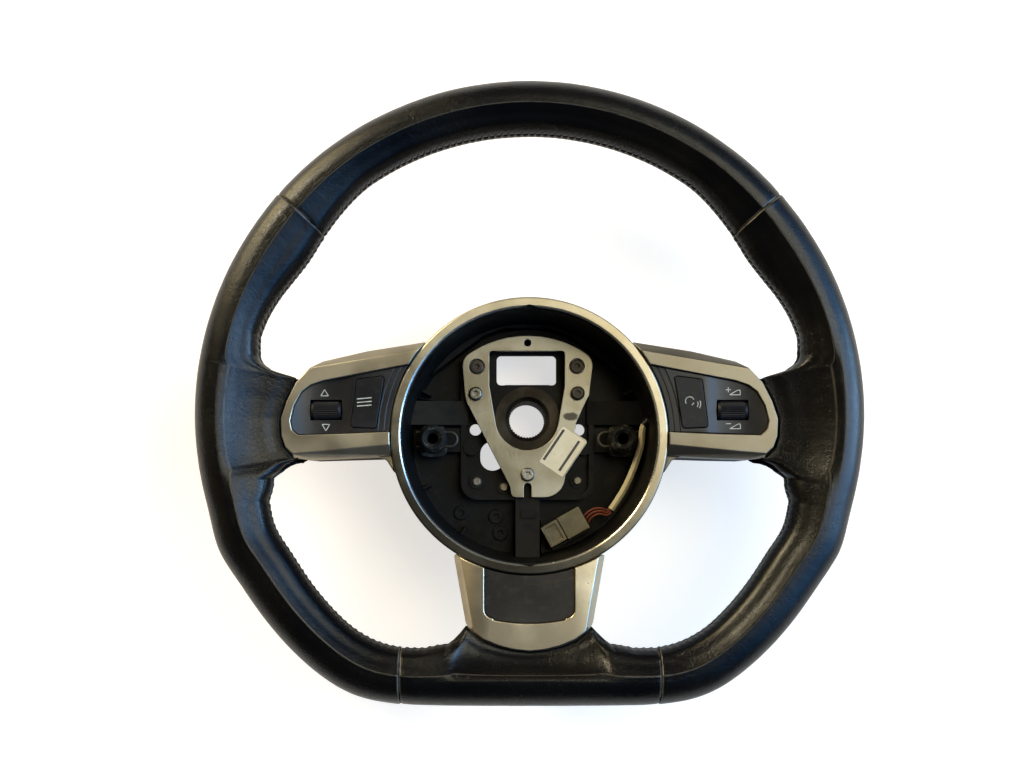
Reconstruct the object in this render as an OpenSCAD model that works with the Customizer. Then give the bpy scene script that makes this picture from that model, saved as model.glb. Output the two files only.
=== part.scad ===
/* [Rim] */
// Outer diameter of the round part of the rim
rim_d = 370; // [350:1:390]
// Distance from the steering axis to the flat bottom edge
flat_y = 161.5; // [156:0.5:168]
// Width of the rim section at the top
rim_w = 29.5; // [27:0.5:31]
// Width of the rim section in the lower half
low_w = 33; // [31:0.5:35]
// Depth of the rim section, front to back
rim_depth = 34; // [31:0.5:37]
// Height of the middle plane of the rim above the rear face of the boss
rim_z = 72; // [70:0.5:75]
// How far the thumb grips stand in from the rim
grip_out = 7; // [0:0.5:9]
// Thickness of the leather
leather_t = 1.4; // [1:0.1:1.8]
// Gap between the two leather edges at the stitched seam
seam_gap = 0.6; // [0.4:0.1:1.2]
// Thickness of the foam at the spoke roots
foam_wall = 5; // [3.5:0.5:6]
// Half width of the core bar that the foam is moulded on
core_r = 5.8; // [4.5:0.1:6.5]
// Angle from the top to each upper leather seam
seam_top = 49; // [44:1:56]
// Angle from the top to each lower leather seam
seam_low = 153.4; // [150:0.2:156]

/* [Spokes] */
// Height of the front faces of the spoke trims
front_z = 76; // [75:0.5:78]
// Height of the rear edge of the spoke trims
trim_z = 58; // [57:0.5:59]
// Height of the front edge of the leather at a spoke root
root_top = 76.5; // [75.5:0.5:79]
// Height of the rear edge of the leather at a spoke root
root_low = 46; // [44:0.5:47]
// How far the side trims reach from the axis
side_x = 137.8; // [135:0.2:140]
// How far the bottom trim reaches from the axis
foot_y = 131.8; // [130:0.2:133]
// Half width of the bottom trim
foot_x = 35.2; // [33:0.2:38]
// Depth of the sloping facets along the trims
facet_h = 4.5; // [3:0.5:6]
// Wall of the trims
trim_t = 2; // [1.6:0.1:2.4]
// Height of the spoke arms of the casting
arm_t = 8; // [6:0.5:9]
// Width of the spoke arms of the casting
arm_w = 14; // [11:0.5:14.5]
// How far the side arms lie above the axis
arm_y = 3.5; // [0:0.5:6]

/* [Centre] */
// Outer radius of the trim ring
ring_ro = 77; // [75.5:0.5:78]
// Inner radius of the trim ring
ring_ri = 71.4; // [70.5:0.1:72.5]
// Height of the front face of the trim ring
ring_z = 74; // [73:0.5:75]
// How far the ring lies below the steering axis
ring_y = 12.2; // [11:0.2:13]
// Wall of the moulded liner
tub_t = 2; // [1.6:0.1:2.4]
// Wall of the rear cover
cover_t = 2.2; // [1.8:0.1:2.6]
// Radius of the open rear collar of the cover
neck_r = 60; // [57:0.5:61]
// Height of the rear collar
neck_h = 4; // [3:0.5:6]

/* [Hub] */
// Thickness of the casting's hub plate
base_t = 5; // [4:0.5:6]
// Height of the rear face of the hub plate
base_z = 26; // [25:0.5:27]
// Half width of the hub plate
base_x = 39; // [37:0.5:41]
// Radius of the smooth mouth of the shaft bore
bore_r = 11.2; // [10.5:0.1:12]
// Depth of the smooth mouth of the shaft bore
bore_len = 10; // [8:0.5:12]
// Number of serrations in the shaft bore
teeth = 40; // [30:1:48]
// Depth of the serrations
tooth_h = 0.7; // [0.5:0.05:1]
// Outer radius of the steel boss
boss_r = 19; // [18:0.5:20]
// Thickness of the steel shield plate
plate_t = 3; // [2:0.5:4]
// Height of the shield plate above the hub plate
plate_gap = 5; // [4:0.5:7]
// Half distance between the two catch sockets
catch_x = 55; // [53:0.5:57]
// Bore radius of the catch sockets
catch_r = 3.2; // [2.8:0.1:4]

/* [Switches] */
// Radius of the thumb rollers
roller_r = 5.25; // [4.5:0.05:5.6]
// Length of the thumb rollers
roller_w = 16.4; // [14:0.2:17]
// Number of ribs on a roller
ribs = 26; // [18:1:32]
// How far the rollers stand above the switch face
roller_up = 1.8; // [1:0.1:2.4]
// Travel of the pressed roller carriers
press = 0.8; // [0.5:0.1:1]
// Travel of the push buttons
push = 1; // [0.6:0.1:1.2]
// How far the switch faces lie below the trims
face_in = 1.5; // [1:0.1:2]

/* [Wiring] */
// Diameter of the sheathed lead
lead_d = 4; // [3:0.1:4.6]
// Diameter of each single wire
wire_d = 1.5; // [1:0.1:1.8]

/* [Fit] */
// Gap between fixed pieces that seat on each other
fit = 0.3; // [0.2:0.05:0.4]
// Gap round moving pieces
slide = 0.3; // [0.2:0.05:0.4]
// Gap between the leather edge and the trims
root_gap = 0.8; // [0.6:0.1:1.2]

/* [Hidden] */
$fn = 64;
tiny = 0.01;
big = 400;

// The round rim and its flat bottom, blended by a high power mean
rim_r = rim_d / 2;
blend = 30;
heel_out = 2.3;
heel_at = 114;
heel_w = 5;
function flat_r(a) = a < 80 ? flat_y / cos(a) : rim_r * 10;
function ro(p) = let (q = abs(p), l = flat_r(180 - q))
  pow(pow(rim_r, -blend) + pow(l, -blend), -1 / blend)
  + heel_out * exp(-pow((q - heel_at) / heel_w, 2));
function width(p) = lookup(abs(p), [[0, rim_w], [36, rim_w], [42, rim_w + grip_out * 0.3],
  [50, rim_w + grip_out * 0.74], [55, rim_w + grip_out], [60, rim_w + grip_out * 0.8],
  [65, rim_w + grip_out * 0.4], [70, rim_w + grip_out * 0.1], [76, rim_w], [106, low_w + 1],
  [120, low_w], [140, low_w - 1.5], [150, low_w], [158, low_w + 1], [180, low_w]]);
function half_out(p) = lookup(abs(p), [[0, rim_w / 2], [100, rim_w / 2], [115, low_w / 2]]);

// Where the rim opens into a spoke root, as angles from the top and the share that is open
side_in = [[75, 0], [76.7, 0.08], [78.2, 0.38], [79.5, 0.72], [80.6, 1]];
side_out = [[100.6, 1], [101.6, 0.6], [102.6, 0.33], [104.2, 0.1], [108.5, 0]];
foot_in = [[158, 0], [160.8, 0.08], [162.4, 0.4], [163.4, 0.85], [164.6, 1]];
ramp = concat(side_in, side_out, foot_in, [[180, 1]]);
function open(p) = lookup(abs(p), ramp);

// Outline of a side trim: its outer end, then its upper and lower edges
side_end = [for (e = [[15.6, 25.3], [8.6, 17.6], [3.3, 7], [0.1, -2.9], [0.5, -13.5], [2.9, -20.6],
  [7.2, -24.5], [17, -25.5]]) [e[0] - side_x, e[1]]];
side_top = [[-57.9, 39.9], [-89.6, 34.9], [-114.4, 29.2]];
side_low = [[-101.7, -24.8], [-84, -23.8], [-66, -23]];
side_edge = concat(side_top, side_end, side_low);
side_face = concat([[-58, 35.5], [-72, 32.4], [-96.7, 27.5], [-114.4, 25.3]],
  [for (e = [[16.3, 24.8], [9, 17], [3.8, 6.6], [0.6, -3], [1, -12.5], [3.3, -19], [7.2, -22.5],
  [21.3, -21.3]]) [e[0] - side_x, e[1]]], [[-101.7, -18.8], [-83.3, -17.4], [-66, -16.5]]);
window = concat([[-60, 28.4], [-74.8, 25.3], [-96.7, 21.1], [-113.7, 17.9]],
  [for (e = [[17, 15.5], [12.1, 11.9], [7.8, 4.2], [5.7, -4.3], [6.8, -9.3], [10, -12.1]])
  [e[0] - side_x, e[1]]], [[-103.8, -11.5], [-78.3, -10.4], [-60, -9.8]]);

// Outline of the bottom trim, left half from the ring down to the middle
foot_half = [[-foot_x - 6.6, -78.6], [-foot_x - 3.7, -84.8], [-foot_x - 1.4, -89.4], [-foot_x - 0.3, -95],
  [-foot_x + 0.3, -105.1],
  [-foot_x - 0.1, 16.1 - foot_y], [2.7 - foot_x, 11.1 - foot_y], [8.4 - foot_x, 6.5 - foot_y],
  [16.9 - foot_x, 3 - foot_y], [25.3 - foot_x, 0.9 - foot_y]];
foot_edge = concat(foot_half, [[0, -foot_y]],
  [for (i = [len(foot_half) - 1:-1:0]) [-foot_half[i][0], foot_half[i][1]]]);
insert_x = 25;
insert_y = foot_y - 15.7;

// Distance along direction d at which an outline is met
function cross2(a, b) = a[0] * b[1] - a[1] * b[0];
function met(d, a, b) = let (e = b - a, den = cross2(d, e)) abs(den) < 0.000001 ? 0 :
  let (s = cross2(a, e) / den, u = cross2(a, d) / den) u >= 0 && u <= 1 && s > 0 ? s : 0;
function reach(d, pts) = max([for (i = [0:len(pts) - 2]) met(d, pts[i], pts[i + 1])]);
function root_r(p) = let (q = abs(p)) root_gap
  + reach([-sin(q), cos(q)], q < 130 ? side_edge : foot_edge);
function ri(p) = let (w = open(p), a = ro(p) - width(p)) w == 0 ? a : a + (root_r(p) - a) * w;
function rc(p) = ro(p) - half_out(p);

// One point of the rim skin: p the angle from the top, k of n round the section, s the inset
n = 16;
function skin(p, k, s) = let (t = 180 - 360 * k / (n - 1), c = cos(t), w = open(p), g = seam_gap / 2,
  b = rim_depth / 2 - s, top = w * (root_top - rim_z - s) + (1 - w) * g,
  low = -w * (rim_z - root_low - s) - (1 - w) * g, lip = t > 0 ? top : low)
  abs(t) <= 90 ? [rc(p) + (half_out(p) - s) * c, b * sin(t)] :
  [rc(p) + (rc(p) - ri(p) - s * (1 - w)) * c, lip + ((t > 0 ? b : -b) - lip) * sin(abs(t))];
function at(p, v) = [v[0] * cos(90 + p), v[0] * sin(90 + p), rim_z + v[1]];

// The channel in the foam for the core bar, open towards the hub at the spokes
chan_r = core_r + fit;
mouth = 3;
function chan(p, j) = let (w = open(p), t = 180 - 22.5 - 45 * (j - 1), s = leather_t)
  j == 0 ? [ri(p) + (s + mouth) * (1 - w), w * (root_top - rim_z - s - foam_wall) + (1 - w) * seam_gap / 2] :
  j == 9 ? [ri(p) + (s + mouth) * (1 - w), -w * (rim_z - root_low - s - foam_wall) - (1 - w) * seam_gap / 2] :
  j == 1 ? [rc(p) + chan_r * cos(t) - w, chan_r * (sin(t) + w * 0.55)] :
  j == 8 ? [rc(p) + chan_r * cos(t), chan_r * (sin(t) - w * 1.4)] :
  [rc(p) + chan_r * cos(t), chan_r * sin(t) - (j == 7 ? w * 2.4 : 0)];

// Stations round the rim, closer where it opens into a spoke root
function span(a, b, m) = [for (i = [1:m]) a + (b - a) * i / m];
function keys(v) = [for (e = v) e[0]];
s_top = span(0, seam_top, 7);
s_side = concat(span(seam_top, 75, 4), [for (i = [1:4]) side_in[i][0]],
  span(80.6, 100.6, 7), [for (i = [1:4]) side_out[i][0]], span(108.5, 140, 4), span(140, seam_low, 3));
s_foot = concat([156, 158.5], [for (i = [1:4]) foot_in[i][0]], span(164.6, 180, 4));
function flip(v) = [for (i = [len(v) - 1:-1:0]) -v[i]];
st_top = concat(flip(s_top), [0], s_top);
st_side = concat([seam_top], s_side);
st_foot = concat([seam_low], s_foot, [for (i = [len(s_foot) - 2:-1:0]) 360 - s_foot[i]], [360 - seam_low]);
function fold(p) = p > 180 ? p - 360 : p;
st_all = concat(s_top, s_side, s_foot, [for (v = flip(s_foot)) if (v > -180) v], flip(s_side), flip(s_top), [0]);

// Faces of a sweep with m stations of c points each
function side_faces(m, c, loop, cross = false) = [for (i = [0:m - (loop ? 1 : 2)], j = [0:c - 1])
  let (e = (i + 1) % m, a = i * c + j, b = i * c + (j + 1) % c, d = e * c + j, f = e * c + (j + 1) % c)
  each (cross ? [[a, d, b], [b, d, f]] : [[a, f, b], [a, d, f]])];
function skin_caps(m) = [for (k = [0:n - 2], e = [0, 1]) let (o = e * (m - 1) * 2 * n,
  a = o + k, b = o + k + 1, c = o + 2 * n - 2 - k, d = o + 2 * n - 1 - k)
  each (e == 0 ? [[a, b, c], [a, c, d]] : [[a, c, b], [a, d, c]])];

// The cross flag splits the leather's faces the same way as the foam's below them
module skin_panel(st, cross) {
  polyhedron(points = [for (v = st) let (p = fold(v))
    each concat([for (k = [0:n - 1]) at(p, skin(p, k, 0))],
    [for (k = [n - 1:-1:0]) at(p, skin(p, k, leather_t))])],
    faces = concat(side_faces(len(st), 2 * n, false, cross), skin_caps(len(st))), convexity = 6);
}

module rim_foam() color("dimgray")
  polyhedron(points = [for (p = st_all)
    each concat([for (k = [0:n - 1]) at(p, skin(p, k, leather_t))], [for (j = [9:-1:0]) at(p, chan(p, j))])],
    faces = side_faces(len(st_all), n + 10, true), convexity = 8);

module leather_top() color("#1c1d20") skin_panel(st_top, true);
module leather_left() color("#202226") skin_panel(st_side, true);
module leather_right() color("#202226") mirror([1, 0, 0]) skin_panel(st_side, false);
module leather_bottom() color("#1c1d20") skin_panel(st_foot, true);

// Casting: core bar, three spoke arms and the hub plate
module core_bar()
  polyhedron(points = [for (p = st_all, j = [0:7]) let (t = 157.5 - 45 * j)
    at(p, [rc(p) + core_r * cos(t), core_r * sin(t)])],
    faces = side_faces(len(st_all), 8, true), convexity = 6);

arm_z = base_z + arm_t / 2;
side_line = [[base_x - 4, arm_z], [70, 33], [100, 42], [118, 47], [142, 64], [rc(90), rim_z - 2]];
foot_line = [[30, arm_z], [70, 33], [95, 40], [112, 46], [130, 62], [rc(180), rim_z - 2]];
function line_z(l, r) = lookup(r, l);
module arm(l) rotate([90, 0, 0]) linear_extrude(height = arm_w, center = true)
  polygon(concat([for (e = l) [e[0], e[1] + arm_t / 2]],
    [for (i = [len(l) - 1:-1:0]) [l[i][0], l[i][1] - arm_t / 2]]));

base_top = 52.4;
base_low = 47.4;
base_rnd = 10;
wall_t = 3;
module rounded(x0, x1, y0, y1, r) {
  translate([x0 + r, y0]) square([x1 - x0 - 2 * r, y1 - y0]);
  translate([x0, y0 + r]) square([x1 - x0, y1 - y0 - 2 * r]);
  for (x = [x0 + r, x1 - r], y = [y0 + r, y1 - r]) translate([x, y]) circle(r);
}

// Outline of the hub plate, with an arched top
module base_2d(i) {
  rounded(i - base_x, base_x - i, i - base_low, 18, base_rnd - i);
  intersection() {
    circle(base_top - i);
    translate([i - base_x, 0]) square([2 * (base_x - i), base_top]);
  }
}

plate_z = base_z + base_t + plate_gap;
up_screws = [[-29.7, 30.3], [28.8, 30.5]];
bright_screws = [[-30.3, 14.3], [0, -32.8]];
dim_screw = [29.2, 14.6];
screw_r = 2;
head_r = 4.1;
post_r = 5.2;
boss_z = 34;
hub_flange = boss_r + 1;
cover_r = 100;
cover_y = 104;
boss_hole = screw_r + 0.1;
rivet_r = 2.9;
rivet_at = [[-29.7, -36.7], [29.4, -36.2]];
brass_at = [-13.7, -40];
socket_r = 8.2;
lug_w = 14;
stop_w = 7.6;
stop_at = 53;
catch_y = -12.3;

module armature() color("#9a9c98") difference() {
  union() {
    core_bar();
    translate([0, arm_y, 0]) { arm(side_line); mirror([1, 0, 0]) arm(side_line); }
    rotate([0, 0, -90]) arm(foot_line);
    translate([-stop_w / 2, -stop_at - 5, base_z + 4]) cube([stop_w, 5, line_z(foot_line, stop_at) + arm_t / 2 + 1.4 - base_z - 4]);
    translate([0, 0, base_z]) linear_extrude(height = base_t) base_2d(0);
    translate([0, 0, base_z]) linear_extrude(height = base_t + 3) difference() {
      base_2d(0);
      base_2d(wall_t);
    }
    for (v = concat(up_screws, bright_screws, [dim_screw]))
      translate([v[0], v[1], base_z]) cylinder(r = post_r, h = base_t + plate_gap);
    translate([0, 0, base_z]) cylinder(r = boss_r + 5, h = base_t + 2);
    for (s = [-1, 1]) {
      translate([s * (base_x + catch_x) / 2 - (catch_x - base_x) / 2, catch_y - lug_w / 2, base_z + 2])
        cube([catch_x - base_x, lug_w, base_t]);
      translate([s * catch_x, catch_y, base_z + 2]) cylinder(r = socket_r + 1.6, h = base_t);
      translate([s * 33, -16.8, base_z]) cylinder(r = 4.5, h = base_t + 4);
    }
    for (v = concat(rivet_at, [brass_at])) translate([v[0], v[1], base_z])
      cylinder(r = rivet_r + 1.4, h = base_t + 1);
  }
  translate([0, 0, base_z - 1]) {
    cylinder(r = boss_r + fit / 6, h = base_t + 6);
    linear_extrude(height = base_t + 5) rounded(-18, 17.2, boss_r + 1.2, 38, 2.6);
    for (s = [-1, 1]) {
      translate([s * 30.5, -6, 0]) cylinder(r = 3.5, h = base_t + 5);
      translate([s * 20.5, -23, 0]) cylinder(r = 7.2, h = base_t + 5);
      translate([s * 20.5 - 7.2, -23, 0]) cube([14.4, 3, base_t + 5]);
      translate([s * 20.5, -20, 0]) cylinder(r = 7.2, h = base_t + 5);
      translate([s * catch_x, catch_y, 0]) cylinder(r = socket_r - 2, h = base_t + 5);
    }
    for (v = concat(up_screws, bright_screws, [dim_screw], rivet_at, [brass_at]))
      translate([v[0], v[1], 0]) cylinder(r = boss_hole, h = base_t + plate_gap + 2);
  }
  for (s = [-1, 1]) translate([s * cover_r, arm_y, 0]) cylinder(r = boss_hole, h = rim_z);
  translate([0, -cover_y, 0]) cylinder(r = boss_hole, h = rim_z);
}

module spline_hub() color("#8d9093") difference() {
  union() {
    cylinder(r = boss_r - 1.5, h = base_z - 4);
    translate([0, 0, base_z - 6]) cylinder(r = hub_flange, h = 6);
    translate([0, 0, base_z - 1]) cylinder(r = boss_r, h = boss_z - base_z + 1);
  }
  translate([0, 0, -1]) cylinder(r = bore_r, h = bore_len + 1);
  translate([0, 0, bore_len - 1]) linear_extrude(height = boss_z) polygon([for (i = [0:2 * teeth - 1])
    let (a = 180 * i / teeth, r = i % 2 ? bore_r - 0.1 : bore_r - 0.1 - tooth_h) [r * cos(a), r * sin(a)]]);
  translate([0, 0, boss_z - 2.5]) cylinder(r1 = bore_r - 0.5, r2 = bore_r + 2.4, h = 3);
}

// Outline of the steel shield plate: crown round the ring's centre, round shoulders about the
// upper screws, a tapering body, and a tab that carries the sticker
crown_r = 60.6;
shoulder_r = 9;
shoulder_at = [29, 30.5];
fan = 1.6;
eye_at = [-0.3, 0];
eye_r = 18.5;
eye_x = 22;
eye_low = 19;
eye_top = 39.4;
eye_rnd = 1.7;
eye_turn = atan2(eye_low, eye_x) - acos(eye_r / norm([eye_x, eye_low]));
heel_r = 12.3;
plate_heel = [9.5, -33.8];
tab_rim = 0.9;
slot_w = 4.4;
slot_top = -40;
module eye() translate(eye_at) {
  circle(eye_r);
  polygon([[-eye_x, eye_low], [-eye_r * cos(eye_turn), eye_r * sin(eye_turn)],
    [eye_r * cos(eye_turn), eye_r * sin(eye_turn)], [eye_x, eye_low]]);
  intersection() {
    rounded(-eye_x, eye_x, 0, eye_top, eye_rnd);
    translate([-eye_x, eye_low - tiny]) square([2 * eye_x, eye_top]);
  }
}
module plate_shape() difference() {
  union() {
    intersection() {
      translate([0, -ring_y]) circle(crown_r, $fn = 128);
      polygon([[0, -ring_y], for (s = [1, -1]) [s * fan * shoulder_at[0], fan * (shoulder_at[1] + ring_y) - ring_y]]);
    }
    for (s = [-1, 1]) translate([s * shoulder_at[0], shoulder_at[1]]) circle(shoulder_r);
    polygon([[-38, shoulder_at[1]], [-36.6, 14], [-35.6, 9.5], [-10.2, -39.8], [-9.6, -44.2], [-8.6, -45.6],
      [-7, -46.1], [plate_heel[0], plate_heel[1] - heel_r], plate_heel, label_at, [27.9, -6.4], [28.3, -2.6],
      [33.8, 9.6], [35.9, 13.6], [38, shoulder_at[1]]]);
    translate(plate_heel) circle(heel_r);
    label_2d(tab_rim);
  }
  eye();
  translate([-slot_w / 2, -50]) square([slot_w, slot_top + 50]);
  translate([0, slot_top]) circle(slot_w / 2);
  translate([0, 44.2]) circle(2);
  for (v = up_screws) translate(v) circle(boss_hole + 0.2);
  for (v = concat(bright_screws, [dim_screw])) translate(v) circle(boss_hole);
}
module shield_plate() color("#b9bab5") difference() {
  translate([0, 0, plate_z]) linear_extrude(height = plate_t) plate_shape();
  for (v = up_screws) translate([v[0], v[1], plate_z + plate_t - 1.4]) cylinder(r = head_r + 0.4, h = 2);
}

module screw(z, down, up) {
  translate([0, 0, z - down]) cylinder(r = screw_r, h = down);
  translate([0, 0, z]) difference() {
    union() {
      cylinder(r = head_r, h = up * 0.6);
      translate([0, 0, up * 0.6]) cylinder(r1 = head_r, r2 = head_r - 1, h = up * 0.4);
    }
    translate([0, 0, up - 1.2]) cylinder(r = 1.7, h = 2, $fn = 6);
  }
}
module plate_screws() color("#c9cac6") for (v = bright_screws)
  translate([v[0], v[1], 0]) screw(plate_z + plate_t, plate_t + plate_gap + 3, 2.4);
module dark_screws() color("#35332f") {
  translate([dim_screw[0], dim_screw[1], 0]) screw(plate_z + plate_t, plate_t + plate_gap + 3, 2.4);
  for (v = up_screws) translate([v[0], v[1], 0]) screw(plate_z + plate_t - 1.4, plate_t + plate_gap + 1, 1.2);
}
module rivets() color("#a08a55") for (v = concat(rivet_at, [brass_at])) translate([v[0], v[1], 0]) {
  translate([0, 0, base_z]) cylinder(r = screw_r, h = base_t + 1);
  translate([0, 0, base_z + base_t + 1]) cylinder(r1 = rivet_r, r2 = rivet_r - 1, h = 1.4);
}

// Sockets that take the pins of the cover module, and the wire catch in each
socket_h = 16;
socket_foot = 4;
wire_r = 0.9;
wire_at = catch_r + wire_r + fit / 6;
socket_z = base_z + 2 + base_t;
module catch_sockets() color("#2a2b2d") for (s = [-1, 1]) translate([s * catch_x, catch_y, 0]) difference() {
  union() {
    translate([0, 0, base_z + 2]) cylinder(r = socket_r - 2 - fit / 6, h = base_t);
    translate([0, 0, socket_z]) linear_extrude(height = socket_foot) rounded(0.4 - socket_r, socket_r - 0.4, -10, 8, 4);
    translate([0, 0, socket_z]) cylinder(r = socket_r, h = socket_h - 3);
    translate([0, 0, socket_z + socket_h - 3]) cylinder(r1 = socket_r, r2 = socket_r - 2, h = 3);
  }
  translate([0, 0, base_z]) cylinder(r = catch_r, h = 40);
  translate([0, 0, socket_z + socket_h - 2]) cylinder(r1 = catch_r, r2 = catch_r + 2, h = 2 + tiny);
  for (e = [-1, 1]) translate([-20, e * wire_at - wire_r - 0.1, socket_z + 6])
    cube([40, 2 * wire_r + 0.2, 2 * wire_r + 0.4]);
}
module catch_springs() color("#b0b2b4") for (s = [-1, 1]) translate([s * catch_x, catch_y, socket_z + 6.2 + wire_r]) {
  for (e = [-1, 1]) translate([-socket_r - 1.6, e * wire_at, 0]) rotate([0, 90, 0])
    cylinder(r = wire_r, h = 2 * socket_r + 3.2);
  translate([-s * (socket_r + 1.6), 0, 0]) rotate([0, 0, s > 0 ? 90 : -90])
    rotate_extrude(angle = 180, $fn = 32) translate([wire_at, 0]) circle(wire_r);
}

// Liner of the hub well, with the floor that the casting stands on
tub_top = ring_z - 3.5 - fit;
tub_ri = ring_ri - 0.6;
tub_low = tub_ri - 3.4;
notch_w = arm_w + 2;
module tub_notch() {
  for (s = [0, 1]) mirror([s, 0, 0]) translate([55, arm_y - notch_w / 2, base_z - fit])
    cube([30, notch_w, arm_t + 6]);
  translate([-notch_w / 2, -100, base_z - fit]) cube([notch_w, 40, arm_t + 8]);
}
shelf_h = 13;
floor_pads = [[-18.6, -57.3], [-16, -67.2], [-39, -55]];
module hub_tub() color("#17181b") difference() {
  union() {
    translate([0, -ring_y, 0]) rotate_extrude($fn = 96) polygon([[20, base_z - tub_t], [tub_low + tub_t, base_z - tub_t],
      [tub_ri + tub_t, tub_top], [tub_ri, tub_top], [tub_low, base_z], [20, base_z]]);
    for (a = [25, 155, 205, 235, 345]) translate([0, -ring_y, 0]) rotate([0, 0, a])
      translate([tub_low - 5, -0.9, base_z - tub_t]) cube([5.6, 1.8, 11]);
    for (v = floor_pads) translate([v[0], v[1], base_z - tiny]) difference() {
      cylinder(r = 4.2, h = 1.4);
      translate([0, 0, 0.6]) cylinder(r = 1.6, h = 1);
    }
    translate([0, 0, base_z - tub_t]) linear_extrude(height = shelf_h) intersection() {
      translate([0, -ring_y]) circle(tub_low + 0.6);
      polygon([[-75, 20], [-56.8, 25], [-25.8, 48.8], [-14, base_top + 0.8], [13, base_top + 0.8], [24.7, 48.6],
        [44.2, 34.6], [55.7, 25], [75, 20], [75, 80], [-75, 80]]);
    }
  }
  translate([0, 0, base_z - tub_t - 1]) linear_extrude(height = tub_t + 2) base_2d(4);
  tub_notch();
  translate(grommet_at) rotate([0, 90, grommet_turn]) cylinder(r = lead_d / 2 + 1.2 + fit / 3, h = 14, center = true);
}

// Rear cover: a round bowl with an open collar for the steering column
bowl_r = ring_ro - 0.2;
bowl_low = bowl_r - 4;
bowl_z = 22;
cover_z = trim_z - fit;
ring_base = 60;
module bowl(i) {
  cylinder(r = neck_r - i, h = neck_h + tiny);
  hull() {
    translate([0, 0, neck_h]) cylinder(r = neck_r - i, h = tiny);
    translate([0, -ring_y, bowl_z]) cylinder(r = bowl_low - i, h = tiny);
  }
  translate([0, -ring_y, bowl_z]) cylinder(r1 = bowl_low - i, r2 = bowl_r - i, h = ring_base - fit - bowl_z);
}
module rear_cover() color("#141517") difference() {
  bowl(0);
  translate([0, 0, -tiny]) bowl(cover_t);
  translate([0, -ring_y, bowl_z + 20]) cylinder(r = bowl_r - cover_t - 1.4, h = 60);
  for (s = [0, 1]) mirror([s, 0, 0]) translate([60, arm_y - notch_w / 2, base_z + 1.5]) cube([30, notch_w, 16]);
  translate([-notch_w / 2, -100, base_z + 4]) cube([notch_w, 40, 16]);
  translate([60, grommet_at[1] - 7, grommet_at[2] - 6]) cube([30, 14, 12]);
}

// Spoke covers: open shells that butt on the bowl, each with a pad for its screw
side_fair = [[70, 22], [side_x + 2, 45.5]];
foot_fair = [[80, 24], [foot_y + 2, 45.5]];
module side_2d(i) offset(delta = -i) polygon(side_edge);
module foot_2d(i) offset(delta = -i) polygon(foot_edge);
module wedge(l, up) rotate([90, 0, 0]) linear_extrude(height = 140, center = true)
  polygon([[l[0][0] - 20, l[0][1] + up], [l[0][0], l[0][1] + up], [l[1][0], l[1][1] + up], [l[1][0], 90],
  [l[0][0] - 20, 90]]);
module side_block(i, up, top) intersection() {
  linear_extrude(height = top) side_2d(i);
  mirror([1, 0, 0]) wedge(side_fair, up);
}
module foot_block(i, up, top) intersection() {
  linear_extrude(height = top) foot_2d(i);
  rotate([0, 0, -90]) wedge(foot_fair, up);
}
pad_z = 4.6;
module screw_pad(z, l, r) difference() {
  translate([0, 0, z - pad_z]) cylinder(r = 6, h = pad_z + 4);
  translate([-r, 0, -fit]) arm(l);
  translate([-20, -20, z + 2]) cube(40);
}
module pad_holes(z) {
  translate([0, 0, z - 3.4 - 20]) cylinder(r = head_r + fit, h = 20);
  cylinder(r = screw_r + fit, h = 60);
}
side_pad = line_z(side_line, cover_r) - arm_t / 2 - fit;
foot_pad = line_z(foot_line, cover_y) - arm_t / 2 - fit;
module side_cover() difference() {
  union() {
    difference() {
      side_block(fit, 0, cover_z);
      side_block(fit + cover_t, cover_t, big);
    }
    translate([-cover_r, arm_y, 0]) mirror([1, 0, 0]) screw_pad(side_pad, side_line, cover_r);
  }
  bowl(-fit);
  translate([0, arm_y, 0]) mirror([1, 0, 0]) arm_cut(side_line, side_x, false);
  translate([-cover_r, arm_y, 0]) pad_holes(side_pad);
}
module left_spoke_cover() color("#141517") side_cover();
module right_spoke_cover() color("#141517") mirror([1, 0, 0]) side_cover();
module bottom_spoke_cover() color("#141517") difference() {
  union() {
    difference() {
      foot_block(fit, 0, cover_z);
      foot_block(fit + cover_t, cover_t, big);
    }
    translate([0, -cover_y, 0]) rotate([0, 0, -90]) screw_pad(foot_pad, foot_line, cover_y);
  }
  bowl(-fit);
  rotate([0, 0, -90]) arm_cut(foot_line, foot_y, false);
  translate([0, -cover_y, 0]) pad_holes(foot_pad);
}
module rear_screw(z) translate([0, 0, z - 3.4]) mirror([0, 0, 1]) screw(0, 10, 2.2);
module cover_screws() color("#3b3c3e") {
  for (s = [-1, 1]) translate([s * cover_r, arm_y, 0]) rear_screw(side_pad);
  translate([0, -cover_y, 0]) rear_screw(foot_pad);
}

// Trim ring round the hub well, with a shallow nick at the top and at the bottom
nick_w = 17;
nick_h = 1.2;
module centre_ring() color("#a9a79f") translate([0, -ring_y, 0]) difference() {
  rotate_extrude($fn = 128) polygon([[ring_ri, ring_z - 3.5], [ring_ri, ring_z - 0.8], [ring_ri + 0.8, ring_z],
    [ring_ro - 0.8, ring_z], [ring_ro, ring_z - 0.8], [ring_ro, ring_base], [ring_ro - trim_t, ring_base],
    [ring_ro - trim_t, ring_z - 3.5]]);
  for (s = [0, 1]) mirror([0, s, 0]) translate([0, ring_ri, ring_z - 4]) linear_extrude(height = 6)
    polygon([[-nick_w / 2, -1], [0, nick_h], [nick_w / 2, -1]]);
}

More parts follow.
